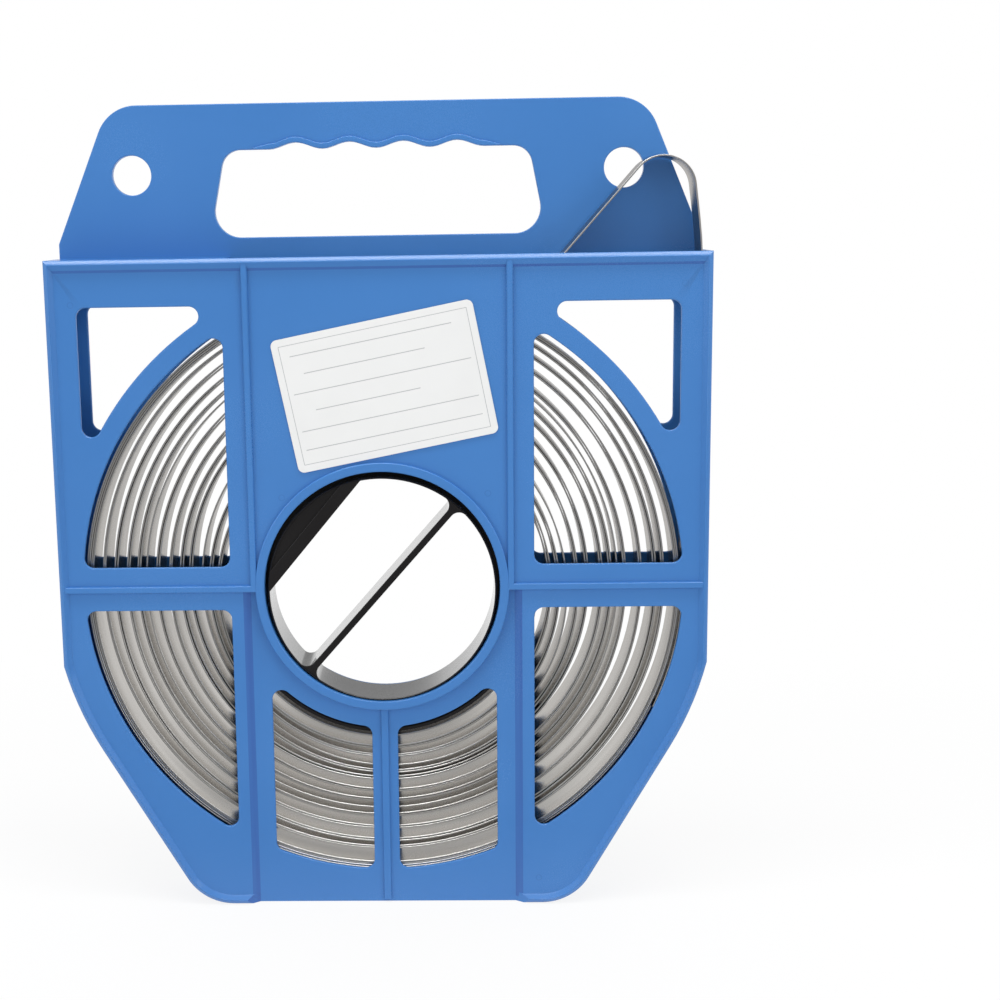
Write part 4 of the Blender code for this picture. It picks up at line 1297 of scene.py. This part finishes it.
@dataclass
class ReelCore:
    """The core: a sleeve in the collars, a drum under the strap, the web between, and the bar."""

    levels: Levels
    finish: bpy.types.Material
    axis: float = 0.1568
    sleeve_outer: float = 0.054
    sleeve_inner: float = 0.0532
    sleeve_back: float = 0.0100
    drum: float = 0.0714
    bar_turn: float = 48.6
    bar_thick: float = 0.0031
    flare: float = 0.0045
    chord_turn: float = 50.2
    chord: float = 0.0407
    chord_wall: float = 0.0059
    chord_floor: Point = (0.0012, 0.0032)
    set_back: float = 0.0015
    web: float = 0.00125
    drum_wall: float = 0.002
    edge: float = 0.0004

    def front(self) -> float:
        """The level of the core's front face."""
        return self.levels.front + self.set_back

    def body(self) -> bpy.types.Object:
        """The sleeve, web and drum in one turning."""
        front, inner, web, r = self.front(), self.drum - self.drum_wall, self.web, self.edge
        middle, near = self.levels.parting, self.levels.strap_front
        half = [(self.sleeve_inner, front + r), (self.sleeve_inner + r, front)]
        half += [(self.sleeve_outer - r, front), (self.sleeve_outer, front + r)]
        half += [(self.sleeve_outer, middle - web), (inner, middle - web), (inner, near + r)]
        half += [(inner + r, near), (self.drum - r, near), (self.drum, near + r)]
        shift = self.sleeve_back + front
        back = [(x, shift - y if abs(y - front) < 0.001 else 2 * middle - y) for x, y in half[::-1]]
        return turned("reel_hub", half + back, self.axis, 144)

    def bar_outline(self) -> Outline:
        """The bar across the bore, flared where it meets the sleeve."""
        half, reach = self.bar_thick / 2, self.sleeve_inner + 0.0004
        start = math.sqrt(self.sleeve_inner**2 - (half + self.flare) ** 2) - self.flare
        fillet = arc((start, half + self.flare), self.flare, -90, 0, 9)
        quarter = fillet + [(math.sqrt(reach**2 - (half + self.flare) ** 2), half + self.flare)]
        right = [(x, -z) for x, z in quarter] + quarter[::-1]
        whole = right + [(-x, -z) for x, z in right]
        return lifted(turned_by(whole, self.bar_turn), self.axis)

    def chord_outline(self, wall: float | None) -> Outline:
        """The part of the bore beyond a chord: a strip of a given width, or all of it."""
        reach = self.sleeve_inner + 0.0004
        near = math.degrees(math.asin(self.chord / reach))
        if wall is None:
            points = arc((0, 0), reach, near, 180 - near)
        else:
            right = arc((0, 0), reach, near, math.degrees(math.asin((self.chord + wall) / reach)))
            points = right + mirrored(right)[::-1]
        return lifted(turned_by(points, self.chord_turn), self.axis)

    def build(self) -> bpy.types.Object:
        """Build the core and dress it."""
        made, front, back = self.body(), self.front(), self.sleeve_back
        wall, floor = self.chord_outline(self.chord_wall), self.chord_outline(None)
        near, far = (front + depth for depth in self.chord_floor)
        parts = [
            flat("core_bar", [self.bar_outline()], front + WELDED, back - WELDED, 0.00035),
            flat("chord_wall", [wall], front + 2 * WELDED, back - 2 * WELDED, 0.0003),
            flat("chord_floor", [floor], near, far, 0.0001),
        ]
        put_together(made, Joining.FUSE, parts)
        smooth(weld(made))
        # Painted sheen: faces that look sideways are marked for a lighter grey in the material.
        toned(made, "side_sheen", lambda _, normal: abs(normal.y) < 0.3)
        dress(made, self.finish, "reel", "black_plastic", "reel_core")
        return made


def strip(
    name: str, line: list[tuple[float, float, float]], levels: Levels, ease: float
) -> bpy.types.Object:
    """A sheet of the strap's width along a line, without thickness.

    Args:
        name: The object's name.
        line: The line's points, whose second value is how far the strap is off its middle.
        levels: The case's levels.
        ease: How much narrower than its space the strap is on each side.

    Returns:
        The sheet, which has its own map.
    """
    last, half = len(line) - 1, (levels.strap_back - levels.strap_front) / 2 - ease
    bpy.ops.object.select_all(action="DESELECT")
    bpy.ops.mesh.primitive_grid_add(x_subdivisions=last, y_subdivisions=1, size=1.0)
    made = bpy.context.object
    made.name = name
    for vertex in made.data.vertices:
        x, off, z = line[round((vertex.co.x + 0.5) * last)]
        vertex.co = (x, levels.parting + math.copysign(half, vertex.co.y) + off, z)
    return made


@dataclass
class Coil:
    """The wound strap: one long strip in loose turns, many of which lie in pairs."""

    levels: Levels
    finish: bpy.types.Material
    axis: float = 0.1568
    bore: float = 0.0717
    outer: float = 0.1412
    thick: float = 0.00076
    bundles: tuple[int, ...] = (2, 2, 2, 1, 2, 2, 2, 2, 1, 2, 2, 2, 2, 4)
    near: Point = (0.00092, 0.00125)
    wide: Point = (0.75, 1.3)
    widest: Point = (1.3, 0.65)
    sway: float = 0.3
    near_sway: float = 0.1
    end_turn: float = -25.0
    crossing: Point = (60.0, 120.0)
    ease: float = 0.00016
    drift: float = 0.00014
    drift_rate: float = 0.37
    steps: int = 150
    seed: int = 11

    def gaps(self) -> list[Gap]:
        """How far each turn lies outside the one before it, and how that changes round the coil.

        Returns:
            For each turn after the first: its distance where it lies in a bundle, its weight
            where it starts one, the share that it sways by, how often it sways in a turn, and
            where it starts to.
        """
        chance = random.Random(self.seed)
        out = []
        for i, size in enumerate(self.bundles):
            if i == len(self.bundles) - 1:
                out.append((0.0, *self.widest, 1, math.pi))
            elif i:
                often, start = chance.choice((1, 1, 2)), chance.uniform(0, 2 * math.pi)
                out.append((0.0, chance.uniform(*self.wide), self.sway, often, start))
            for _ in range(size - 1):
                often, start = chance.choice((1, 2, 3)), chance.uniform(0, 2 * math.pi)
                out.append((chance.uniform(*self.near), 0.0, self.near_sway, often, start))
        return out

    def radii(self, gaps: list[Gap], angle: float) -> list[float]:
        """The radius of every turn at one angle, in degrees."""
        turn = math.radians(angle)
        sways = [1 + share * math.sin(often * turn + start) for _, _, share, often, start in gaps]
        near = [gap[0] * sway for gap, sway in zip(gaps, sways)]
        wide = [gap[1] * sway for gap, sway in zip(gaps, sways)]
        stretch = (self.outer - self.bore - self.thick - sum(near)) / sum(wide)
        out = [self.bore + self.thick / 2]
        for first, second in zip(near, wide):
            out.append(out[-1] + first + second * stretch)
        return out

    def build(self) -> bpy.types.Object:
        """Wind the strip and dress it."""
        gaps = self.gaps()
        first, last = self.crossing
        count = len(gaps) * self.steps
        line = []
        for step in range(count + 1):
            angle = self.end_turn + 360 * (step - count) / self.steps
            radii = self.radii(gaps, angle)
            lap = math.floor((angle - first) / 360)
            share = min(1.0, (angle - first - 360 * lap) / (last - first))
            index = lap + len(radii)
            inner, outer = radii[max(index - 1, 0)], radii[index]
            radius = inner + (outer - inner) * share * share * (3 - 2 * share)
            drift = self.drift * math.sin(self.drift_rate * angle * math.pi / 180)
            turn = math.radians(angle)
            line.append((radius * math.cos(turn), drift, self.axis + radius * math.sin(turn)))
        made = strip("wound_strap", line, self.levels, self.ease)
        return finish_strip(made, self.thick, self.finish, "reel", "strap_coil")


def finish_strip(
    made: bpy.types.Object, thick: float, finish: bpy.types.Material, body: str, node: str
) -> bpy.types.Object:
    """Give a strip its thickness and rounded edges, and dress it.

    Args:
        made: The strip as a sheet without thickness.
        thick: Its thickness.
        finish: Its material.
        body: The body that it rides on.
        node: The CAD node that it replaces.

    Returns:
        The finished strip.
    """
    modified(made, "Thickness", "SOLIDIFY", thickness=thick, offset=0.0)
    settings = {"width": SLIT_EDGE, "segments": 1, "limit_method": "ANGLE", "angle_limit": 1.0}
    modified(made, "Slit edges", "BEVEL", **settings)
    with editing(made, whole=True):
        bpy.ops.mesh.normals_make_consistent(inside=False)
    bpy.ops.object.shade_smooth_by_angle(angle=math.radians(30))
    dress(made, finish, body, "stainless_steel", node)
    return made


@dataclass
class StrapEnd:
    """The free end: round the coil, up out of the slot, over in a loop and back in."""

    shape: CaseShape
    levels: Levels
    finish: bpy.types.Material
    axis: float = 0.1568
    coil: float = 0.1412
    thick: float = 0.00076
    gap: float = 0.0003
    hug: float = 25.0
    to_side: float = 0.002037
    bend_drop: float = 0.019433
    bend_radius: float = 0.2
    lean: float = 7.0
    leg: float = 0.0157
    loop_radius: float = 0.0147
    tuck_slope: float = 48.6
    tuck: float = 0.0835
    stride: float = 0.008

    def route(self) -> Outline:
        """The strip's middle line."""
        radius = self.coil + self.gap + self.thick / 2
        heading = 90 - self.hug
        start = math.radians(-self.hug)
        points = [(radius * math.cos(start), self.axis + radius * math.sin(start))]
        across = self.shape.width / 2 - self.shape.wall - self.to_side
        up = self.shape.top - self.bend_drop - self.axis
        away = math.hypot(across, up)
        leave = math.degrees(math.acos(radius / away)) - bearing((across, up))
        moves = (
            (radius, self.hug - leave),
            (None, math.sqrt(away**2 - radius**2)),
            (self.bend_radius, leave + self.lean),
            (None, self.leg),
            (self.loop_radius, 90 - self.lean + self.tuck_slope),
            (None, self.tuck),
        )
        for bend, amount in moves:
            x, z = points[-1]
            if bend is None:
                ahead = math.radians(heading)
                runs = max(1, round(amount / self.stride))
                for i in range(1, runs + 1):
                    way = amount * i / runs
                    points.append((x + way * math.cos(ahead), z + way * math.sin(ahead)))
                continue
            side = math.radians(heading + 90)
            centre = (x + bend * math.cos(side), z + bend * math.sin(side))
            points += arc(centre, bend, heading - 90, heading - 90 + amount, 3.0)[1:]
            heading += amount
        return points

    def build(self) -> bpy.types.Object:
        """Bend the strip along its route and dress it."""
        line = [(x, 0.0, z) for x, z in self.route()]
        made = strip("loose_end", line, self.levels, 1e-5)
        return finish_strip(made, self.thick, self.finish, "case", "strap_end")


@dataclass
class Label:
    """The label on the front plate, a little turned."""

    levels: Levels
    size: Point = (0.095, 0.063)
    corner: float = 0.003
    centre: Point = (0.00285, 0.253)
    turn: float = 11.2
    thick: float = 0.0003
    gap: float = 0.0003
    edge: float = 0.00008

    def build(self) -> bpy.types.Object:
        """Cut the label and dress it."""
        x, z = self.size[0] / 2, self.size[1] / 2
        corners = [(a, b, self.corner) for a, b in ((-x, -z), (x, -z), (x, z), (-x, z))]
        outline = turned_by(rounded_polygon(corners), self.turn)
        outline = lifted(outline, self.centre[1], self.centre[0])
        near = self.levels.panel_out - self.gap - self.thick
        made = flat("case_label", [outline], near, near + self.thick, self.edge)
        smooth(made)
        white, grey = (0.82, 0.825, 0.82), (0.30, 0.31, 0.33)
        paper = CoatedPaper("label_paper", white, grey, self.centre, self.turn, self.size)
        dress(made, paper.make(), "case", "white_paper", "paper_label")
        return made


@dataclass(frozen=True)
class Lamp:
    """A soft lamp that looks at the middle of the case."""

    name: str
    place: Colour
    size: Point
    power: float

    def hang(self) -> None:
        """Hang the lamp."""
        light = bpy.data.lights.new(self.name, "AREA")
        light.shape, light.size, light.size_y = "RECTANGLE", *self.size
        light.energy = self.power
        made = linked(self.name, light)
        made.location = self.place
        towards = Vector((0.0, 0.0, 0.19)) - Vector(self.place)
        made.rotation_euler = towards.to_track_quat("-Z", "Y").to_euler()


@dataclass
class Studio:
    """The pale floor, the soft lamps, the white background and the camera.

    What metal and gloss mirror is darker behind the camera, on the floor ahead of the object and
    in a band low in the sky, as it is in a photographer's room.
    """

    camera_place: Colour = (0.030127, -0.727613, 0.33136)
    camera_turn: Colour = (80.4876, 0.9267, 1.4891)
    lens: float = 55.9967
    shift: Point = (0.09929, -0.02479)
    floor_colour: Colour = (0.90, 0.90, 0.90)
    floor_cloud: Colour = (0.885, 0.885, 0.885)
    background: Colour = (1.0, 1.0, 1.0)
    daylight: float = 0.65
    behind_camera: float = 0.3
    low_sky: float = 0.5
    shadow: tuple[float, float, float] = (0.08, 0.45, 0.86)
    dim_floor: Point = (-0.12, 0.02)
    dim_world: Point = (-0.95, -0.3)
    sky_band: tuple[Point, Point] = ((0.09, 0.24), (0.45, 0.65))
    lamps: tuple[Lamp, ...] = (
        Lamp("top_lamp", (0.0, -0.34, 1.6), (1.4, 0.3), 13.0),
        Lamp("left_lamp", (-1.1, -1.0, 0.6), (0.6, 0.6), 2.9),
        Lamp("right_lamp", (1.1, -1.0, 0.6), (0.6, 0.6), 2.9),
    )

    def floor(self) -> None:
        """The floor, which keeps the object's shadow and turns white away from it."""
        bpy.ops.object.select_all(action="DESELECT")
        bpy.ops.mesh.primitive_plane_add(size=8.0, location=(0.0, 0.0, -0.0002))
        made = bpy.context.object
        made.name = "floor"
        paint = Paint("pale_floor")
        where = paint.place()
        x, y, _ = paint.axes(where)
        colour = paint.mix(paint.noise(where, 3.0, 1.0), self.floor_colour, self.floor_cloud)
        near, far, least = self.shadow
        away = (x * x * 0.3 + y * y).ramp(near**2, far**2, least, 1.0)
        seen, shiny = paint.rays()
        white = paint.glow(self.background)
        made.data.materials.append(paint.finish(Base_Color=colour, Roughness=0.8))
        plain = Socket(paint, paint.shader.outputs[0])
        mixed = paint.blend(seen * away + shiny, plain, white)
        dark = paint.glow((self.behind_camera,) * 3)
        ahead = shiny * y.ramp(*self.dim_floor, 1.0, 0.0)
        mixed = paint.blend(ahead, mixed, dark)
        paint.put(paint.output.inputs["Surface"], mixed)

    def world(self) -> None:
        """A white background for what the camera and metal see, and even light for the rest."""
        world = bpy.data.worlds.new("studio")
        bpy.context.scene.world = world
        world.use_nodes = True
        world.node_tree.nodes.clear()
        nodes = Nodes(world.node_tree)
        seen, shiny = nodes.rays()
        _, depth, up = nodes.axes(nodes.node("ShaderNodeTexCoord", {}, {})[0])
        darker = depth.ramp(*self.dim_world, self.behind_camera, 1.0)
        low, high = self.sky_band
        band = up.ramp(*low) * up.ramp(*high, 1.0, 0.0)
        darker = darker * (1.0 - band * (1.0 - self.low_sky))
        soft, round_about, behind = (
            nodes.node("ShaderNodeBackground", {}, {"Color": self.background, "Strength": strength})[0]
            for strength in (self.daylight, darker, 1.0)
        )
        shown = nodes.blend(seen, nodes.blend(shiny, soft, round_about), behind)
        nodes.node("ShaderNodeOutputWorld", {}, {"Surface": shown})

    def camera(self) -> None:
        """The camera, where the photograph was taken from."""
        lens = bpy.data.cameras.new("camera")
        lens.lens, lens.sensor_width, lens.sensor_fit = self.lens, 36.0, "HORIZONTAL"
        lens.shift_x, lens.shift_y = self.shift
        lens.clip_start, lens.clip_end = 0.01, 20.0
        made = linked("camera", lens)
        made.location = self.camera_place
        made.rotation_euler = [math.radians(angle) for angle in self.camera_turn]
        bpy.context.scene.camera = made

    def build(self) -> None:
        """Set the whole studio up."""
        self.camera()
        self.floor()
        self.world()
        for lamp in self.lamps:
            lamp.hang()
        bpy.context.scene.view_settings.view_transform = "Standard"


def main() -> None:
    """Build the studio and every piece, in order."""
    logging.basicConfig(level=logging.INFO, format="%(name)s: %(message)s", stream=sys.stdout)
    shape, levels = CaseShape(), Levels()
    blue, black = BLUE.make(), BLACK.make()
    Studio().build()
    Coil(levels, COIL_STEEL.make()).build()
    StrapEnd(shape, levels, END_STEEL.make()).build()
    ReelCore(levels, black).build()
    FrontCover(shape, levels, blue).build()
    BackCover(shape, levels, blue).build()
    Label(levels).build()


if __name__ == "__main__":
    main()
